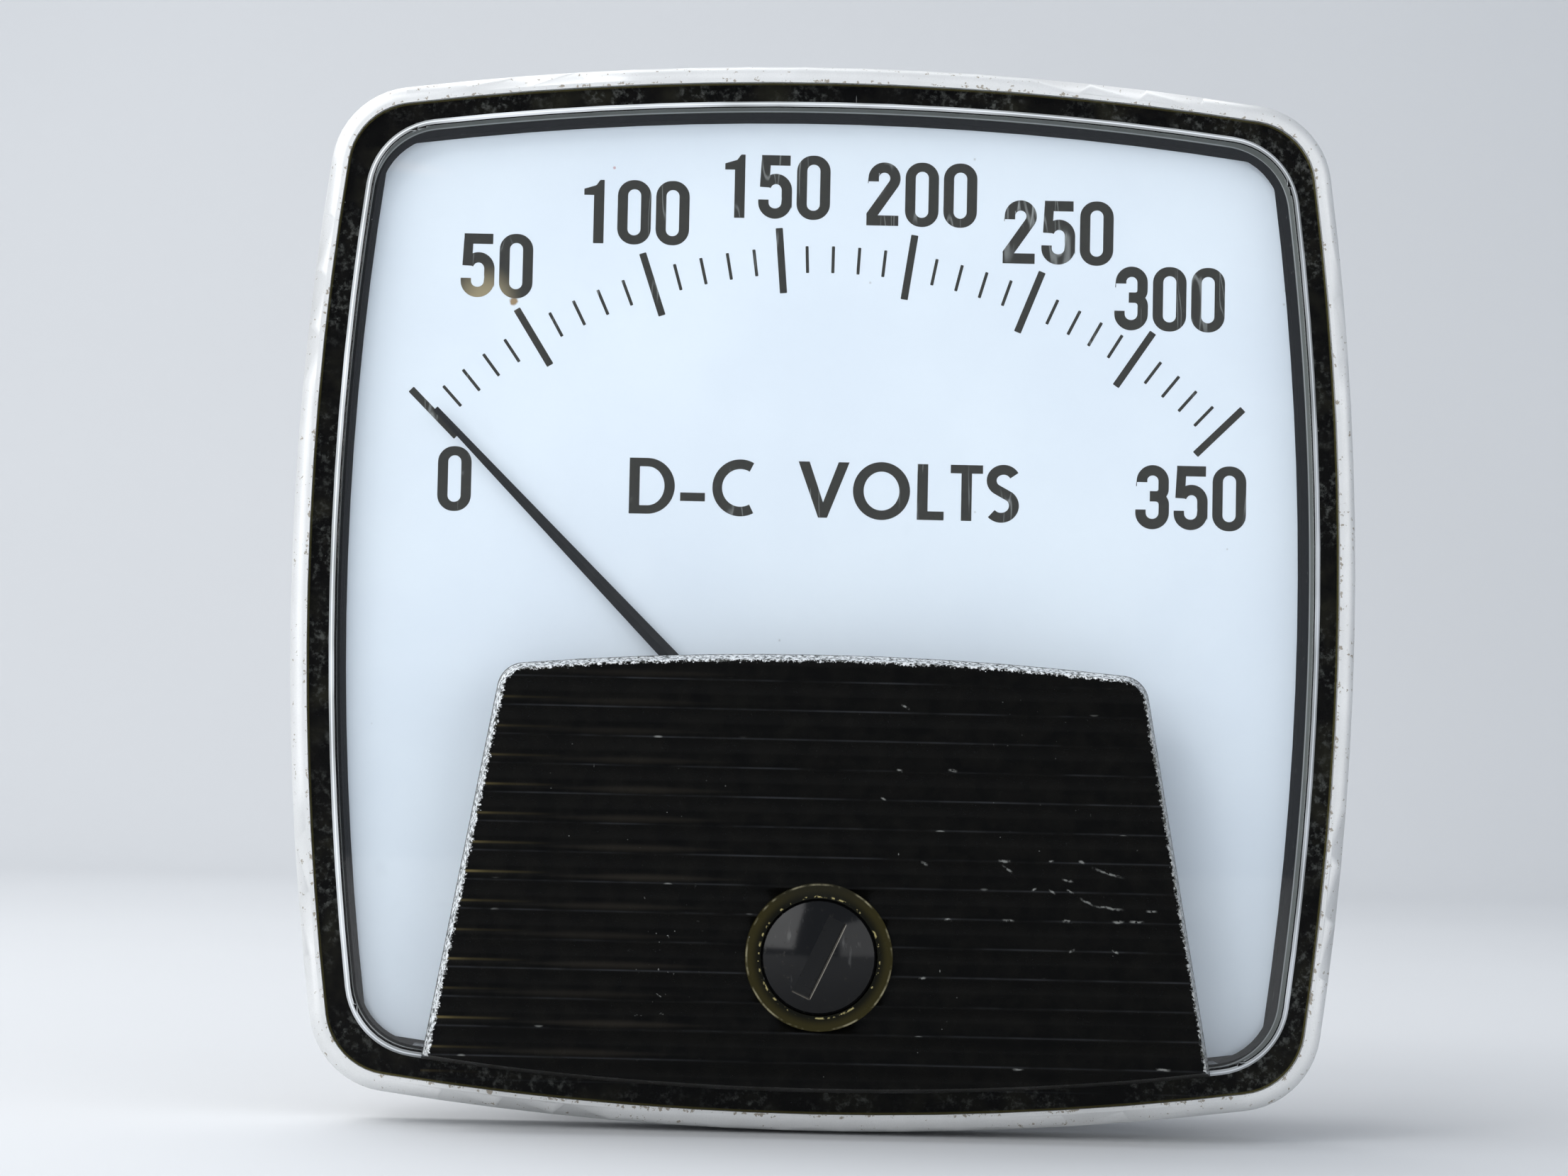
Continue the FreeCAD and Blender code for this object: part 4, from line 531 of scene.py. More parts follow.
cover = nodes["front_cover"]
cover.data.materials.clear()
for material in (make_paint_finish(), make_pane_finish(), make_wall_finish()):
    cover.data.materials.append(material)
shares = [0, 0, 0]
for polygon in cover.data.polygons:
    polygon.material_index = part_of_cover(polygon.center, polygon.normal)
    shares[polygon.material_index] += 1
print("cover faces painted, pane and wall:", shares)

# %% [markdown]
# ## Silver rim
#
# The rim is pressed metal with a satin silver coat. Years of handling wore it along its edges, where brown
# shows through, and left a few bigger scuffs. A noise field is compared with the distance from the rim's
# edges, so that the wear gathers there and stays rare on the open faces.

# %% Silver rim finish
SILVER_DULL, SILVER_CLEAR, SILVER_GRAIN = (0.70, 0.705, 0.70), (0.76, 0.765, 0.76), (0.54, 0.54, 0.53)
SIDE_SHADE, UNDERCOAT = (0.55, 0.48, 0.40), (0.20, 0.155, 0.09)
INNER_EDGE, OUTER_EDGE = (-1.35, 0.35), (-0.35, 0.4)
WORN_FROM, WORN_TO = 0.665, 0.70


def make_rim_finish():
    finish = Finish("rim_silver")
    across, up, forward = finish.place()
    outside = bowed_distance(across, up, 0.0, FACE_CORNER)
    fine = finish.noise(0.12, detail=3.0)
    blotch = finish.noise(5.0, detail=4.0)
    fleck = finish.noise(0.55, detail=4.0, roughness=0.7)
    patch = finish.noise(7.0, detail=2.0)
    wear = fleck + beside(outside, *INNER_EDGE) * 0.11 + beside(outside, *OUTER_EDGE) * 0.06
    worn = (wear + (patch - 0.5) * 0.14).ease(WORN_FROM, WORN_TO)
    silver = finish.blend(blotch.ease(0.3, 0.7), SILVER_DULL, SILVER_CLEAR)
    silver = finish.blend(fine.ease(0.3, 0.8) * 0.2, silver, SILVER_GRAIN)
    # Painted shade: the rim's side is darker and browner near its rear edge, where it meets the case.
    silver = finish.blend(beside(forward, 0.5, 1.6) * 0.4, silver, SIDE_SHADE)
    colour = finish.blend(worn * 0.75, silver, UNDERCOAT)
    relief = finish.bump(fine * 0.6 - worn, 0.012, 0.3)
    metal = finish.principled(Base_Color=colour, Metallic=0.38 - worn * 0.3,
                              Roughness=0.42 + fine * 0.1 + worn * 0.2, Normal=relief)
    return finish.show(metal)


dress("bezel_rim", make_rim_finish())

# %% [markdown]
# ## White dial
#
# The dial is a metal plate with a matt white coat that looks slightly blue. It isn't quite even: a few
# faint smudges and tiny specks show where dust has lain for years, and a pale streak at its top left
# corner is a painted reflection.

# %% White dial finish
DIAL_DULL, DIAL_WHITE = (0.79, 0.86, 0.92), (0.83, 0.90, 0.95)
SMUDGE, SPECK, REFLECTION_WHITE = (0.45, 0.50, 0.56), (0.30, 0.28, 0.24), (0.93, 0.95, 0.97)
BROWN_SPOT, BROWN = (-26.82, 24.58), (0.28, 0.17, 0.05)
RED_SPOT, RED = (-18.48, 36.24), (0.45, 0.10, 0.08)
STREAK_START, STREAK_FALL, STREAK_WIDTH = (-38.0, 36.2), 0.127, 0.9


def from_spot(across, up, spot):
    """How far a point is from a spot on the dial."""
    return length_of(across - spot[0], up - spot[1])


def make_dial_finish():
    finish = Finish("dial_white")
    across, up, forward = finish.place()
    cloud = finish.noise(16.0, detail=3.0)
    smudge = finish.noise(4.0, detail=4.0).ease(0.62, 0.8) * finish.noise(20.0, detail=1.0).ease(0.45, 0.6)
    speck = 1.0 - finish.cells(4.3).ease(0.015, 0.035)
    colour = finish.blend(cloud.ease(0.3, 0.7), DIAL_DULL, DIAL_WHITE)
    colour = finish.blend(smudge * 0.12, colour, SMUDGE)
    colour = finish.blend(speck * 0.35, colour, SPECK)
    # Painted reflection: a pale streak running in from the top left corner.
    from_start = across - STREAK_START[0]
    painted_light_streak = beside(up + from_start * STREAK_FALL, STREAK_START[1], STREAK_WIDTH)
    colour = finish.blend(painted_light_streak * (1.0 - from_start.ease(1.0, 6.5)) * 0.6, colour, REFLECTION_WHITE)
    ragged = (finish.noise(0.5, detail=3.0) - 0.5) * 0.3
    brown = 1.0 - (from_spot(across, up, BROWN_SPOT) + ragged).ease(0.24, 0.44)
    red = 1.0 - from_spot(across, up, RED_SPOT).ease(0.08, 0.16)
    colour = finish.blend(brown * 0.95, colour, BROWN)
    colour = finish.blend(red * 0.6, colour, RED)
    relief = finish.bump(finish.noise(0.3, detail=3.0), 0.01, 0.2)
    return finish.show(finish.principled(Base_Color=colour, Roughness=0.55, Normal=relief))


dress("dial_plate", make_dial_finish())

# %% [markdown]
# ## Printing ink
#
# The figures were printed in black, and it has turned a dark olive grey. Fine light scratches cross it,
# and at the foot of the figure 50 it has faded to brown.

# %% Ink finish
INK_DARK, INK_OLIVE = (0.014, 0.0132, 0.0085), (0.029, 0.0275, 0.018)
INK_SCRATCH, INK_FADED = (0.42, 0.44, 0.42), (0.40, 0.33, 0.19)
FADED_SPOT, FADED_REACH = (-29.3, 24.6), (0.6, 3.4)
INK_HAIRS = ((25, 2.6), (-50, 3.4))


def make_ink_finish():
    finish = Finish("dial_ink")
    across, up, forward = finish.place()
    mottle = finish.noise(0.35, detail=4.0, roughness=0.7)
    hair = 0.0
    for turn, size in INK_HAIRS:
        line = abs(finish.noise(size, detail=2.0, stretch=(1.0, 1.0, 0.15), turn=(0, turn, 0)) - 0.5)
        hair = (1.0 - line.ease(0.0, 0.012)) * finish.noise(4.0, detail=1.0).ease(0.5, 0.62) + hair
    faded = 1.0 - from_spot(across, up, FADED_SPOT).ease(*FADED_REACH)
    colour = finish.blend(mottle.ease(0.3, 0.75), INK_DARK, INK_OLIVE)
    colour = finish.blend((hair * 0.4).least(0.7), colour, INK_SCRATCH)
    colour = finish.blend(faded * 0.8, colour, INK_FADED)
    return finish.show(finish.principled(Base_Color=colour, Roughness=0.5, Specular_IOR_Level=0.15))


ink = make_ink_finish()

# %% [markdown]
# ## Drawing the figures
#
# No printed typeface is loaded, because the numerals of such dials were drawn: straight sides, round ends
# and a stroke of even width. Each one is a path that a stroke follows, and its outline is filled as a flat
# curve. A plain text object would be quicker, but its shapes are too wide and too thin for a dial.

# %% Strokes
DIAL_FRONT = 5.6
INK_RISE = 0.012
SAME_POINT = 1e-4
SHARPEST_TURN = 0.35
CORNER_STEPS = 10


def bend(centre, radius, start, end, steps=18):
    """Points of an arc, with angles in degrees anticlockwise from the right."""
    across, up = radius if isinstance(radius, tuple) else (radius, radius)
    points = []
    for index in range(steps + 1):
        angle = math.radians(start + (end - start) * index / steps)
        points.append((centre[0] + across * math.cos(angle), centre[1] + up * math.sin(angle)))
    return points


def stroke(path, width):
    """The outline of a stroke of even width along an open path, with square ends."""
    path = [Vector(point) for index, point in enumerate(path) if index == 0 or
            (Vector(point) - Vector(path[index - 1])).length > SAME_POINT]
    left, right = [], []
    for index, point in enumerate(path):
        before = (point - path[index - 1]).normalized() if index else None
        after = (path[index + 1] - point).normalized() if index + 1 < len(path) else before
        before = before or after
        middle = (before + after).normalized()
        normal = Vector((-middle.y, middle.x))
        reach = width / 2 / max(SHARPEST_TURN, middle.dot(before))
        left.append(point + normal * reach)
        right.append(point - normal * reach)
    return left + right[::-1]


def rounded_box(centre, half_across, half_up, radius):
    """A closed outline with round corners."""
    points = []
    for sign_x, sign_y, start in ((1, 1, 0), (-1, 1, 90), (-1, -1, 180), (1, -1, 270)):
        middle = (centre[0] + sign_x * (half_across - radius), centre[1] + sign_y * (half_up - radius))
        points += bend(middle, radius, start, start + 90, CORNER_STEPS)
    return points


def flat_piece(name, outlines):
    """Fill closed outlines as one thin sheet of ink. An outline inside another is a hole."""
    curve = bpy.data.curves.new(name, "CURVE")
    curve.dimensions = "2D"
    curve.fill_mode = "BOTH"
    curve.extrude = INK_RISE / 2 * MM
    for outline in outlines:
        spline = curve.splines.new("POLY")
        spline.points.add(len(outline) - 1)
        for point, spot in zip(spline.points, outline):
            point.co = (spot[0] * MM, spot[1] * MM, 0.0, 1.0)
        spline.use_cyclic_u = True
    piece = bpy.data.objects.new(name, curve)
    bpy.context.scene.collection.objects.link(piece)
    bpy.ops.object.select_all(action="DESELECT")
    bpy.context.view_layer.objects.active = piece
    piece.select_set(True)
    bpy.ops.object.convert(target="MESH")
    return bpy.context.object


def lay_on_dial(piece, across, up, turn=0.0, lift=0.0):
    """Stand a flat drawing upright on the dial's face, with its place in its mesh."""
    front = -(DIAL_FRONT + INK_RISE / 2 + lift) * MM
    place = Matrix.Translation((across * MM, front, up * MM))
    upright = Matrix.Rotation(math.radians(turn), 4, "Y") @ Matrix.Rotation(math.pi / 2, 4, "X")
    piece.data.transform(place @ upright)


def join(name, pieces):
    """Join pieces into one object with one name."""
    bpy.ops.object.select_all(action="DESELECT")
    for piece in pieces:
        piece.select_set(True)
    bpy.context.view_layer.objects.active = pieces[0]
    if len(pieces) > 1:
        bpy.ops.object.join()
    piece = bpy.context.object
    piece.name = name
    piece.data.name = name
    return piece


# %% [markdown]
# The drawings of the numerals are given in millimetres, from the lower left of each figure, and each comes
# with its width. A nought is a ring of two outlines and a one is a single outline. The others are strokes
# along paths, and strokes that cross lie in layers a hair apart, so that none flickers in another.

# %% Numerals
TALL = 5.45
STROKE = 0.88
HALF_STROKE = STROKE / 2


def draw_nought():
    middle = (1.43, TALL / 2)
    return 2.86, [[rounded_box(middle, 1.43, TALL / 2 + 0.04, 1.36),
                   rounded_box(middle, 0.56, TALL / 2 - 0.74, 0.555)]]


def draw_one():
    return 2.46, [[[(0.84, 0.0), (1.72, 0.0), (1.72, TALL), (1.36, TALL), (1.02, 4.98), (0.0, 4.66),
                    (0.0, 4.14), (0.84, 4.14)]]]


def draw_two():
    path = [(0.58, TALL - 1.66), (0.58, TALL - 1.38)] + bend((1.50, TALL - 1.38), 0.93, 180, -28)
    path += [(0.44, 0.88), (0.44, HALF_STROKE + 0.42)]
    bar = [(0.012, HALF_STROKE), (2.74, HALF_STROKE)]
    return 2.88, [[stroke(path, STROKE)], [stroke(bar, STROKE)]]


def draw_three():
    waist = TALL - 2.65
    upper = [(0.55, TALL - 1.46), (0.55, TALL - 1.36)] + bend((1.45, TALL - 1.36), 0.93, 180, 0)
    upper += [(2.38, waist + 0.62)] + bend((1.76, waist + 0.62), 0.62, 0, -90) + [(1.22, waist)]
    lower = [(1.22, waist), (1.72, waist)] + bend((1.72, waist - 0.70), 0.70, 90, 0)
    lower += [(2.42, 1.40)] + bend((1.43, 1.40), (0.99, 0.97), 0, -180) + [(0.44, 1.65)]
    return 2.85, [[stroke(upper, STROKE)], [stroke(lower, STROKE)]]


def draw_five():
    top = [(2.70, TALL - HALF_STROKE), (0.24, TALL - HALF_STROKE)]
    stem = [(0.63, TALL - HALF_STROKE), (0.52, TALL - 2.76)]
    bowl = bend((1.50, TALL - 3.02), (0.93, 0.98), 158, 0) + [(2.43, 1.38)]
    bowl += bend((1.43, 1.38), (0.99, 0.95), 0, -180) + [(0.44, 1.62)]
    return 2.86, [[stroke(top, STROKE)], [stroke(stem, 0.80)], [stroke(bowl, STROKE)]]


NUMERALS = {"0": draw_nought, "1": draw_one, "2": draw_two, "3": draw_three, "5": draw_five}
DIGIT_GAP = 0.42
LAYER = 0.002


def set_figures(text, centre_across, centre_up):
    """Set a number in drawn numerals about a centre on the dial."""
    drawings = [NUMERALS[letter]() for letter in text]
    width = sum(drawing[0] for drawing in drawings) + DIGIT_GAP * (len(text) - 1)
    left = centre_across - width / 2
    pieces = []
    for advance, strokes in drawings:
        for layer, outlines in enumerate(strokes):
            piece = flat_piece("figure", outlines)
            lay_on_dial(piece, left, centre_up - TALL / 2, lift=layer * LAYER)
            pieces.append(piece)
        left += advance + DIGIT_GAP
    return join("numeral_" + text, pieces)


FIGURES = {"0": (-31.5, 9.3), "50": (-28.33, 27.6), "100": (-16.5, 32.45), "150": (-4.5, 34.9),
           "200": (7.85, 34.5), "250": (19.55, 31.5), "300": (29.15, 26.0), "350": (31.2, 9.05)}
for text, (across, up) in FIGURES.items():
    figure = set_figures(text, across, up)
    figure.data.materials.append(ink)
    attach(figure, "case")
print("numbers on the dial:", len(FIGURES))

# %% [markdown]
# ## The unit
#
# The unit stands under the scale in plain geometric capitals. Round letters are rings or part rings, and
# straight ones are outlines of a few corners.

# %% Unit lettering
CAPITAL = 4.76
CAPITAL_BAR = 0.72
UNIT_UP = 6.67
RING_STEPS = 59


def letter_d():
    outer = [(0.0, 0.0), (1.55, 0.0)] + bend((1.55, CAPITAL / 2), (2.33, CAPITAL / 2), -90, 90, 30)
    outer += [(0.0, CAPITAL)]
    inner = [(0.88, CAPITAL_BAR), (1.55, CAPITAL_BAR)]
    inner += bend((1.55, CAPITAL / 2), (1.45, CAPITAL / 2 - CAPITAL_BAR), -90, 90, 30)
    inner += [(0.88, CAPITAL - CAPITAL_BAR)]
    return [[outer, inner]]


def letter_c():
    return [[stroke(bend((2.38, CAPITAL / 2), (1.97, 2.02), 61, 299, 40), 0.82)]]


def letter_v():
    return [[[(1.74, 0.0), (2.50, 0.0), (4.34, CAPITAL), (3.42, CAPITAL), (2.14, 1.30), (0.94, CAPITAL),
              (0.0, CAPITAL)]]]


def letter_o():
    centre = (2.43, CAPITAL / 2)
    return [[bend(centre, (2.43, 2.47), 0, 354, RING_STEPS), bend(centre, (1.52, 1.66), 0, 354, RING_STEPS)]]


def letter_l():
    return [[[(0.0, 0.0), (2.28, 0.0), (2.28, 0.74), (0.90, 0.74), (0.90, CAPITAL), (0.0, CAPITAL)]]]


def letter_t():
    under_bar = CAPITAL - CAPITAL_BAR
    return [[[(0.93, 0.0), (1.82, 0.0), (1.82, under_bar), (2.75, under_bar), (2.75, CAPITAL),
              (0.0, CAPITAL), (0.0, under_bar), (0.93, under_bar)]]]


def letter_s():
    path = bend((1.52, CAPITAL - 1.26), (1.02, 0.93), 28, 232, 24)
    path += bend((1.33, 1.36), (1.10, 1.03), 50, -138, 24)
    return [[stroke(path, 0.84)]]


def letter_dash():
    return [[[(0.0, 1.16), (2.11, 1.16), (2.11, 1.88), (0.0, 1.88)]]]


UNIT = [(letter_d, -16.6), (letter_dash, -12.25), (letter_c, -9.52), (letter_v, -2.22), (letter_o, 2.45),
        (letter_l, 7.92), (letter_t, 10.74), (letter_s, 13.74)]
unit_pieces = []
for draw, left in UNIT:
    for layer, outlines in enumerate(draw()):
        piece = flat_piece("capital", outlines)
        lay_on_dial(piece, left, UNIT_UP, lift=layer * LAYER)
        unit_pieces.append(piece)
unit = join("unit_lettering", unit_pieces)
unit.data.materials.append(ink)
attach(unit, "case")

# %% [markdown]
# ## The scale
#
# A scale mark is a thin bar that points at the pivot. The bars aren't equally spaced: the movement's field
# is stronger towards the middle, so the spacing opens there and closes again, and a few sine waves added
# to an even division give it. One long and one short bar are drawn, and each mark is a turned copy.

# %% Scale marks
PIVOT_UP = -18.4
DIVISIONS, MAJOR_EVERY = 35, 5
SCALE_START, SCALE_SWEEP = -45.1, 90.44
SCALE_WAVES = {1: 1.67, 2: -0.69, 4: -0.11}
MINOR_MARK = (46.0, 48.3, 0.26)
MAJOR_MARK = (44.35, 49.95, 0.61)
MARK_CORNER = 0.06


def mark_angle(index):
    share = index / DIVISIONS
    waves = sum(size * math.sin(math.pi * order * share) for order, size in SCALE_WAVES.items())
    return SCALE_START + SCALE_SWEEP * share + waves


def draw_mark(inner, outer, width):
    """A bar with slightly soft corners, standing above the pivot."""
    middle = (0.0, (inner + outer) / 2)
    return flat_piece("mark", [rounded_box(middle, width / 2, (outer - inner) / 2, MARK_CORNER)])


master_marks = {True: draw_mark(*MAJOR_MARK), False: draw_mark(*MINOR_MARK)}
marks = []
for index in range(DIVISIONS + 1):
    master = master_marks[index % MAJOR_EVERY == 0]
    mark = master.copy()
    mark.data = master.data.copy()
    bpy.context.scene.collection.objects.link(mark)
    lay_on_dial(mark, 0.0, PIVOT_UP, turn=mark_angle(index))
    marks.append(mark)
for master in master_marks.values():
    bpy.data.objects.remove(master)
scale = join("scale_marks", marks)
scale.data.materials.append(ink)
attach(scale, "case")
print("scale marks:", len(marks), "vertices:", len(scale.data.vertices))

# %% [markdown]
# ## Pointer
#
# The pointer is a folded aluminium strip, painted matt black. The paint is thin and slightly rubbed in
# patches, where a dark grey shows.

# %% Pointer finish
POINTER_BLACK, POINTER_RUBBED = (0.0035, 0.0034, 0.0028), (0.014, 0.0135, 0.011)


def make_pointer_finish():
    finish = Finish("pointer_black")
    rub = finish.noise(1.2, detail=4.0)
    colour = finish.blend(rub.ease(0.5, 0.8), POINTER_BLACK, POINTER_RUBBED)
    relief = finish.bump(finish.noise(0.15), 0.01, 0.3)
    return finish.show(finish.principled(Base_Color=colour, Roughness=0.5, Normal=relief,
                                         Specular_IOR_Level=0.12))


dress("pointer", make_pointer_finish())

# %% [markdown]
# ## Zero screw
# The zero screw is moulded in glossy black plastic. Dust sits on it and its dome is scratched by
# screwdrivers.
# A painted highlight runs along one edge of the slot, and a fainter one across one end. Dust sits on it, its
# dome is scratched by screwdrivers,
# and the slot's edges are rubbed until they catch the light.

# %% Zero screw finish
SLOT_LEAN, SLOT_HALF_WIDTH, SLOT_HALF_LENGTH = math.radians(25.0), 0.8, 3.45
SCREW_BLACK, SCREW_DUST = (0.0025, 0.0025, 0.0028), (0.045, 0.040, 0.028)
SCREW_SCRATCH, SLOT_HIGHLIGHT = (0.22, 0.22, 0.21), (0.34, 0.31, 0.26)


def make_screw_finish():
    finish = Finish("screw_black")
    across, up, forward = finish.place()
    from_centre = up - ADJUSTER_UP
    sideways = across * math.cos(SLOT_LEAN) - from_centre * math.sin(SLOT_LEAN)
    along = across * math.sin(SLOT_LEAN) + from_centre * math.cos(SLOT_LEAN)
    dust = finish.noise(0.5, detail=4.0).ease(0.58, 0.8)
    # Painted highlight along the slot's right edge, and a fainter one across its lower end.
    slot_highlight = beside(sideways, SLOT_HALF_WIDTH + 0.03, 0.07) * (1.0 - abs(along).ease(3.3, 3.5))
    slot_end_highlight = beside(along, -SLOT_HALF_LENGTH, 0.10) * (1.0 - abs(sideways).ease(0.7, 0.85))
    rub = finish.noise(0.8, detail=3.0, stretch=(1.0, 1.0, 0.25), turn=(0, 32, 0)).ease(0.64, 0.74)
    colour = finish.blend(dust * 0.3, SCREW_BLACK, SCREW_DUST)
    colour = finish.blend(rub * 0.16, colour, SCREW_SCRATCH)
    colour = finish.blend((slot_highlight * 0.7).most(slot_end_highlight * 0.35), colour, SLOT_HIGHLIGHT)
    relief = finish.bump(dust, 0.015, 0.2)
    return finish.show(finish.principled(Base_Color=colour, Roughness=0.12 + dust * 0.3, Normal=relief,
                                         Specular_IOR_Level=0.28))


dress("zero_adjust_screw", make_screw_finish())

# %% [markdown]
# ## Black moulded case
#
# The case is a thermoset moulding: black with a faint cloudiness, a soft sheen and a fine texture left by
# the mould.

# %% Case finish
CASE_BLACK, CASE_CLOUD, CASE_DUST = (0.010, 0.009, 0.008), (0.020, 0.018, 0.016), (0.12, 0.11, 0.10)


def make_case_finish():
    finish = Finish("case_moulding")
    cloud = finish.noise(9.0, detail=5.0)
    pit = finish.noise(0.35, detail=3.0)
    dust = finish.noise(3.0, detail=5.0).ease(0.58, 0.8)
    colour = finish.blend(cloud.ease(0.3, 0.7), CASE_BLACK, CASE_CLOUD)
    colour = finish.blend(dust * 0.2, colour, CASE_DUST)
    relief = finish.bump(pit, 0.03, 0.35)
    return finish.show(finish.principled(Base_Color=colour, Roughness=0.38 + cloud * 0.15, Normal=relief))


dress("case", make_case_finish())

# %% [markdown]
# ## Metals and other small finishes
#
# The movement and the terminals use a handful of metals. They differ in colour and in how rough they are,
# and they share fine machining marks and a brown tarnish, so one function makes them all. A second one makes
# the plain finishes: rubber, laminate, wire insulation and jewel.

# %% Metals
TARNISH = (0.16, 0.11, 0.06)
MACHINING_STRETCH = (1.0, 14.0, 1.0)
LINE_SHADE = 0.8


def make_metal(name, colour, roughness):
    finish = Finish(name)
    lines = finish.noise(0.5, detail=4.0, stretch=MACHINING_STRETCH)
    stain = finish.noise(2.6, detail=4.0)
    shade = finish.blend(lines.ease(0.3, 0.7), colour, tuple(part * LINE_SHADE for part in colour))
    shade = finish.blend(stain.ease(0.52, 0.8) * 0.45, shade, TARNISH)
    relief = finish.bump(lines, 0.01, 0.3)
    return finish.show(finish.principled(Base_Color=shade, Metallic=1.0,
                                         Roughness=roughness + stain * 0.2, Normal=relief))


def make_plain(name, colour, other, roughness, **more):
    """A moulded or rubber finish with a soft mottle."""
    finish = Finish(name)
    mottle = finish.noise(1.5, detail=4.0)
    shade = finish.blend(mottle.ease(0.3, 0.7), colour, other)
    relief = finish.bump(finish.noise(0.2), 0.01, 0.3)
    return finish.show(finish.principled(Base_Color=shade, Roughness=roughness + mottle * 0.1, Normal=relief,
                                         **more))


METALS = {
    "screw_steel": ((0.55, 0.54, 0.51), 0.30, [
        "dial_screws", "frame_screws", "bridge_screws", "rear_bridge_screws", "zero_adjust_clip"]),
    "terminal_brass": ((0.62, 0.47, 0.22), 0.28, ["terminal_studs", "terminal_lugs", "terminal_nuts"]),
    "terminal_steel": ((0.56, 0.55, 0.53), 0.34, [
        "terminal_washers", "terminal_lock_washers", "panel_studs"]),
    "brass": ((0.60, 0.43, 0.18), 0.30, [
        "core_spacers", "front_bridge", "front_jewel_screw", "rear_jewel_screw", "balance_weights",
        "zero_lever", "rear_spring_anchor", "pointer_stops"]),
    "spring_bronze": ((0.55, 0.34, 0.14), 0.25, ["front_hairspring", "rear_hairspring"]),
    "frame_alloy": ((0.55, 0.55, 0.54), 0.45, ["movement_frame"]),
    "coil_aluminium": ((0.68, 0.68, 0.67), 0.30, ["coil_former", "balance_cross"]),
    "coil_copper": ((0.42, 0.14, 0.05), 0.25, ["coil_winding"]),
    "yoke_steel": ((0.36, 0.36, 0.37), 0.40, ["yoke_ring", "core_magnet"]),
    "staff_steel": ((0.60, 0.60, 0.60), 0.15, ["pivot_staffs"]),
}
for name, (colour, roughness, members) in METALS.items():
    metal = make_metal(name, colour, roughness)
    for member in members:
        dress(member, metal)

rubber = make_plain("seal_rubber", (0.012, 0.012, 0.012), (0.022, 0.022, 0.021), 0.75)
laminate = make_plain("laminate", (0.16, 0.075, 0.025), (0.22, 0.11, 0.04), 0.45)
insulation = make_plain("wire_insulation", (0.34, 0.018, 0.012), (0.42, 0.03, 0.02), 0.35)
ruby = make_plain("jewel_red", (0.45, 0.01, 0.03), (0.55, 0.02, 0.05), 0.05, Transmission_Weight=0.6)
for member, plain in (("cover_gasket", rubber), ("zero_adjust_seal", rubber), ("rear_bridge", laminate),
                      ("lead_wires", insulation), ("jewels", ruby)):
    dress(member, plain)
bare = [name for name in nodes if not nodes[name].material_slots]
print("nodes with no finish:", bare)

# %% [markdown]
# ## Screw threads
#
# The CAD model has plain rods where the threads are. A thread is drawn once, as a short profile with a flat
# root and a flat crest. A Screw modifier winds it about the rod's axis, and two cuts give it flat ends. The
# CAD rod itself is drawn in to a short stub that hides inside the new one. A depth counts backwards from the
# plane of the frame's origin.

# %% Threads
TURN_STEPS = 32
THREAD_PROFILE = ((0.0, 0.0), (0.0, 0.25), (1.0, 0.45), (1.0, 0.75), (0.0, 1.0))
STUB_LENGTH, STUB_SHARE = 0.3, 0.9
SEAT = 0.01
MERGE = 1e-7
DEPTH_WAY = (0.0, 1.0, 0.0)
Thread = namedtuple("Thread", "rod_start front back root crest pitch")
TERMINAL_THREAD = Thread(rod_start=34.1, front=31.0, back=43.5, root=2.78, crest=3.175, pitch=0.9)
PANEL_THREAD = Thread(rod_start=0.5, front=0.1, back=16.0, root=1.42, crest=1.75, pitch=0.8)
TERMINAL_SPOTS = [(-19.0, 10.0), (19.0, 10.0)]
PANEL_SPOTS = [(side * 28.0, row * 28.0) for side in (-1, 1) for row in (-1, 1)]


def edit(piece):
    """Open a piece in edit mode with all of it selected."""
    bpy.ops.object.select_all(action="DESELECT")
    bpy.context.view_layer.objects.active = piece
    piece.select_set(True)
    bpy.ops.object.mode_set(mode="EDIT")
    bpy.ops.mesh.select_all(action="SELECT")


def cut_flat(depth, **side):
    """Cut the piece in edit mode square to its depth, and close the cut."""
    bpy.ops.mesh.select_all(action="SELECT")
    bpy.ops.mesh.bisect(plane_co=(0.0, depth * MM, 0.0), plane_no=DEPTH_WAY, use_fill=True,
                        threshold=MERGE, **side)


def threaded_rod(finish, thread):
    """A closed rod about the depth axis with a thread from front to back, in millimetres."""
    turns = math.ceil((thread.back - thread.front) / thread.pitch) + 2
    places = [((thread.root + height * (thread.crest - thread.root)) * MM,
               (thread.front + (rise - 1.0) * thread.pitch) * MM, 0.0) for height, rise in THREAD_PROFILE]
    mesh = bpy.data.meshes.new("thread")
    mesh.from_pydata(places, [(index, index + 1) for index in range(len(places) - 1)], [])
    mesh.materials.append(finish)
    rod = bpy.data.objects.new("thread", mesh)
    bpy.context.scene.collection.objects.link(rod)
    winding = rod.modifiers.new("winding", "SCREW")
    winding.axis = "Y"
    winding.screw_offset = thread.pitch * MM
    winding.iterations = turns
    winding.steps = winding.render_steps = TURN_STEPS
    winding.use_smooth_shade = False
    bpy.context.view_layer.objects.active = rod
    bpy.ops.object.modifier_apply(modifier="winding")
    edit(rod)
    bpy.ops.mesh.remove_doubles(threshold=MERGE)
    cut_flat(thread.front, clear_inner=True)
    cut_flat(thread.back, clear_outer=True)
    bpy.ops.mesh.select_all(action="SELECT")
    bpy.ops.mesh.normals_make_consistent(inside=False)
    bpy.ops.object.mode_set(mode="OBJECT")
    return rod


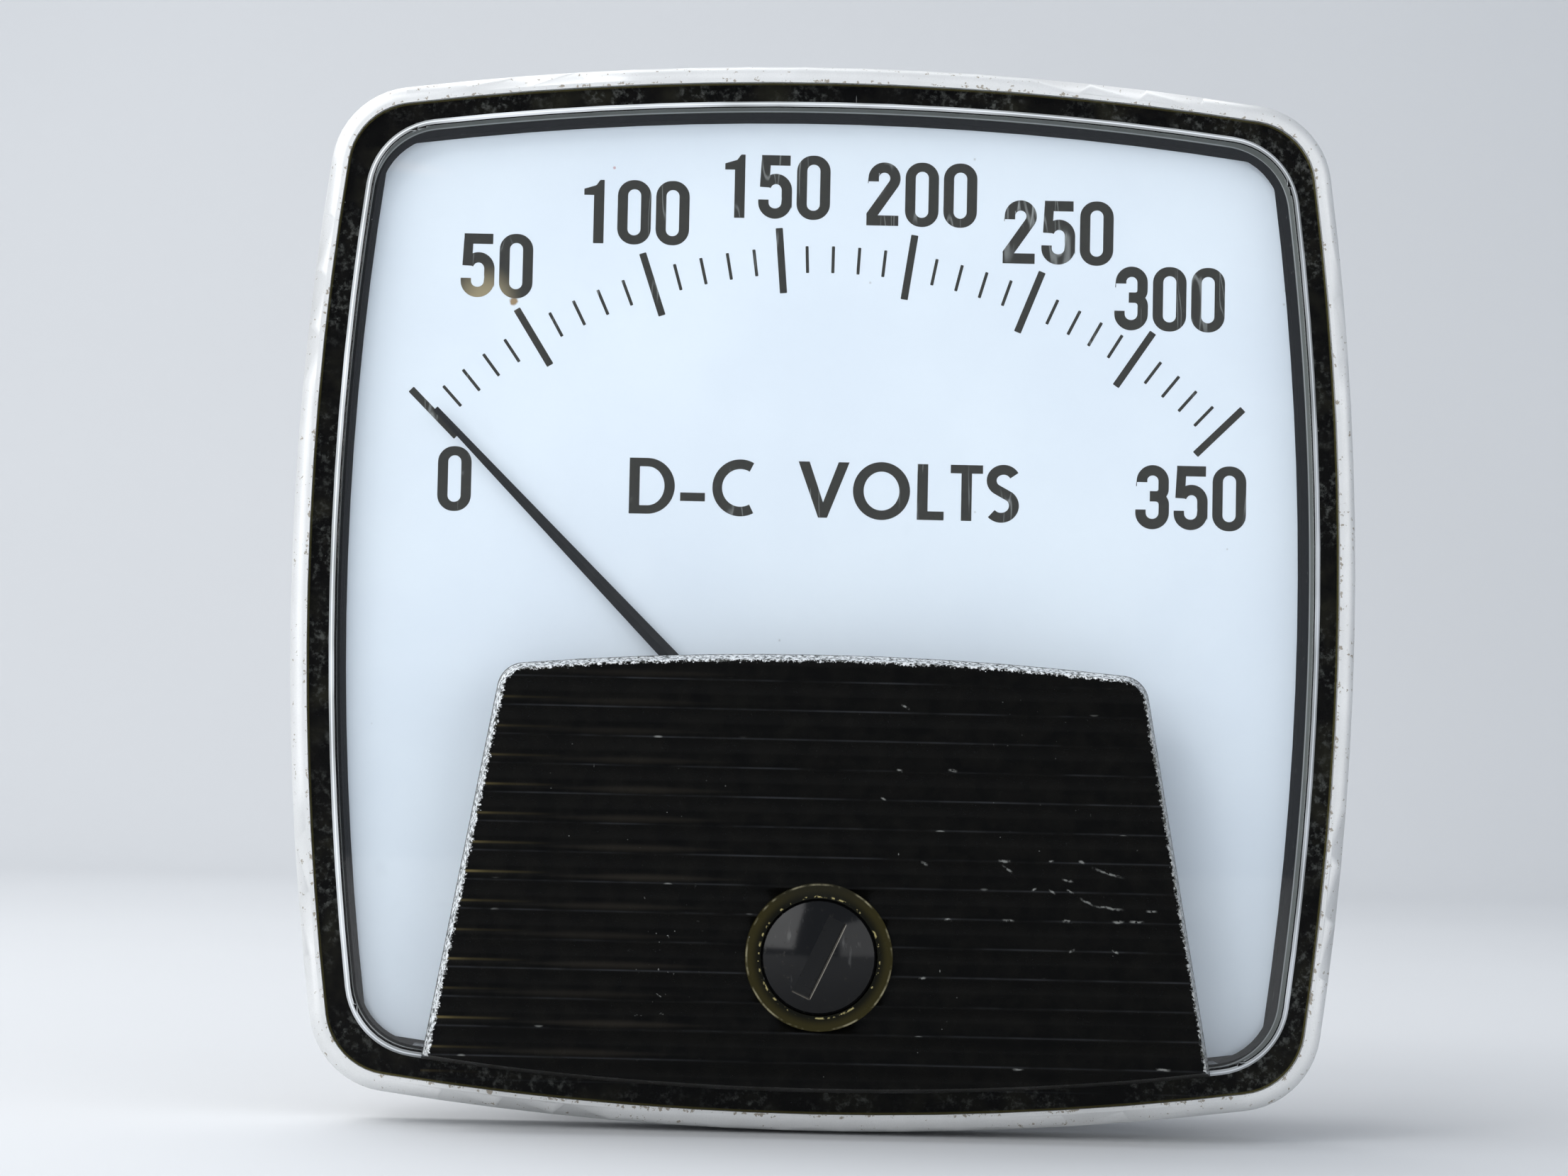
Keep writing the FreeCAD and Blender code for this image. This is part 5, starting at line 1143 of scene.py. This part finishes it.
def with_threads(node, spots, thread):
    """A copy of a CAD node whose plain rods, from rod_start on, are threaded ones."""
    body = nodes[node].copy()
    body.data = nodes[node].data.copy()
    bpy.context.scene.collection.objects.link(body)
    edit(body)
    bpy.ops.mesh.remove_doubles(threshold=MERGE)
    bpy.ops.object.mode_set(mode="OBJECT")
    for vertex in body.data.vertices:
        if vertex.co.y / MM > thread.rod_start - SEAT:
            here = (vertex.co.x / MM, vertex.co.z / MM)
            across, up = min(spots, key=lambda spot: math.dist(spot, here))
            depth = min(vertex.co.y, (thread.rod_start + STUB_LENGTH) * MM)
            axis = Vector((across * MM, depth, up * MM))
            away = Vector((vertex.co.x, depth, vertex.co.z)) - axis
            vertex.co = axis + away.normalized() * min(away.length, thread.root * MM * STUB_SHARE)
    master = threaded_rod(nodes[node].material_slots[0].material, thread)
    pieces = [body]
    for across, up in spots:
        rod = master.copy()
        rod.data = master.data.copy()
        rod.data.transform(Matrix.Translation((across * MM, 0.0, up * MM)))
        bpy.context.scene.collection.objects.link(rod)
        pieces.append(rod)
    bpy.data.objects.remove(master)
    piece = join(node + "_threaded", pieces)
    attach(piece, "case")
    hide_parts(node)
    print(piece.name, "faces:", len(piece.data.polygons))


with_threads("terminal_studs", TERMINAL_SPOTS, TERMINAL_THREAD)
with_threads("panel_studs", PANEL_SPOTS, PANEL_THREAD)

# %% [markdown]
# ## Stage and light
#
# A pale floor that curves up into a backdrop shows the object plainly. The light is a large soft lamp at
# the upper left, as by a window, with a small one in it that gives the zero screw its highlight, a fill at
# the right, a glow for the rim's left side and a light on the backdrop. What lies behind the camera stays
# dim, because the black parts of the face are glossy and would show it as grey.

# %% Stage
FLOOR_UP, FLOOR_FRONT, FLOOR_BACK = -45.3, -900.0, 700.0
SWEEP_RADIUS, SWEEP_STEPS = 300.0, 16
STAGE_TOP, STAGE_HALF = 1500.0, 1500.0
PAPER_DULL, PAPER_PALE = (0.66, 0.67, 0.68), (0.68, 0.69, 0.70)
ROOM_TINT, ROOM_STRENGTH = (0.80, 0.88, 1.0, 1.0), 0.45

sweep = bend((FLOOR_BACK, FLOOR_UP + SWEEP_RADIUS), SWEEP_RADIUS, -90, 0, SWEEP_STEPS)
stage_profile = [(FLOOR_FRONT, FLOOR_UP), *sweep, (FLOOR_BACK + SWEEP_RADIUS, STAGE_TOP)]
vertices = [(side * STAGE_HALF * MM, depth * MM, up * MM) for depth, up in stage_profile for side in (-1, 1)]
faces = [(2 * index, 2 * index + 1, 2 * index + 3, 2 * index + 2) for index in range(len(stage_profile) - 1)]
backdrop_mesh = bpy.data.meshes.new("backdrop")
backdrop_mesh.from_pydata(vertices, [], faces)
backdrop = bpy.data.objects.new("backdrop", backdrop_mesh)
bpy.context.scene.collection.objects.link(backdrop)
for polygon in backdrop_mesh.polygons:
    polygon.use_smooth = True
paper = Finish("paper")
tone = paper.blend(paper.noise(300.0, detail=2.0).ease(0.3, 0.7), PAPER_DULL, PAPER_PALE)
backdrop_mesh.materials.append(paper.show(paper.principled(Base_Color=tone, Roughness=0.8)))


def add_lamp(name, place, size, power, aim=(0, 0, 0)):
    """A rectangular lamp that shines from a place towards a point, in millimetres and watts."""
    bpy.ops.object.light_add(type="AREA", location=Vector(place) * MM)
    lamp = bpy.context.object
    lamp.name = name
    lamp.rotation_euler = (Vector(aim) - Vector(place)).to_track_quat("-Z", "Y").to_euler()
    lamp.data.shape = "RECTANGLE"
    lamp.data.size, lamp.data.size_y = size[0] * MM, size[1] * MM
    lamp.data.energy = power


add_lamp("window_light", (-540, -700, 430), (750, 850), 5.5)
add_lamp("window_gap", (-430, -600, 470), (110, 110), 0.5)
add_lamp("right_fill", (680, -700, 0), (900, 900), 3.6)
add_lamp("side_glow", (-430, 60, 420), (500, 500), 2.0)
add_lamp("back_light", (-200, 500, 700), (900, 500), 2.6, aim=(0, 600, 0))

world = bpy.data.worlds.new("room")
bpy.context.scene.world = world
world.use_nodes = True
background = world.node_tree.nodes["Background"]
background.inputs["Color"].default_value = ROOM_TINT
background.inputs["Strength"].default_value = ROOM_STRENGTH
bpy.context.scene.view_settings.view_transform = "Standard"
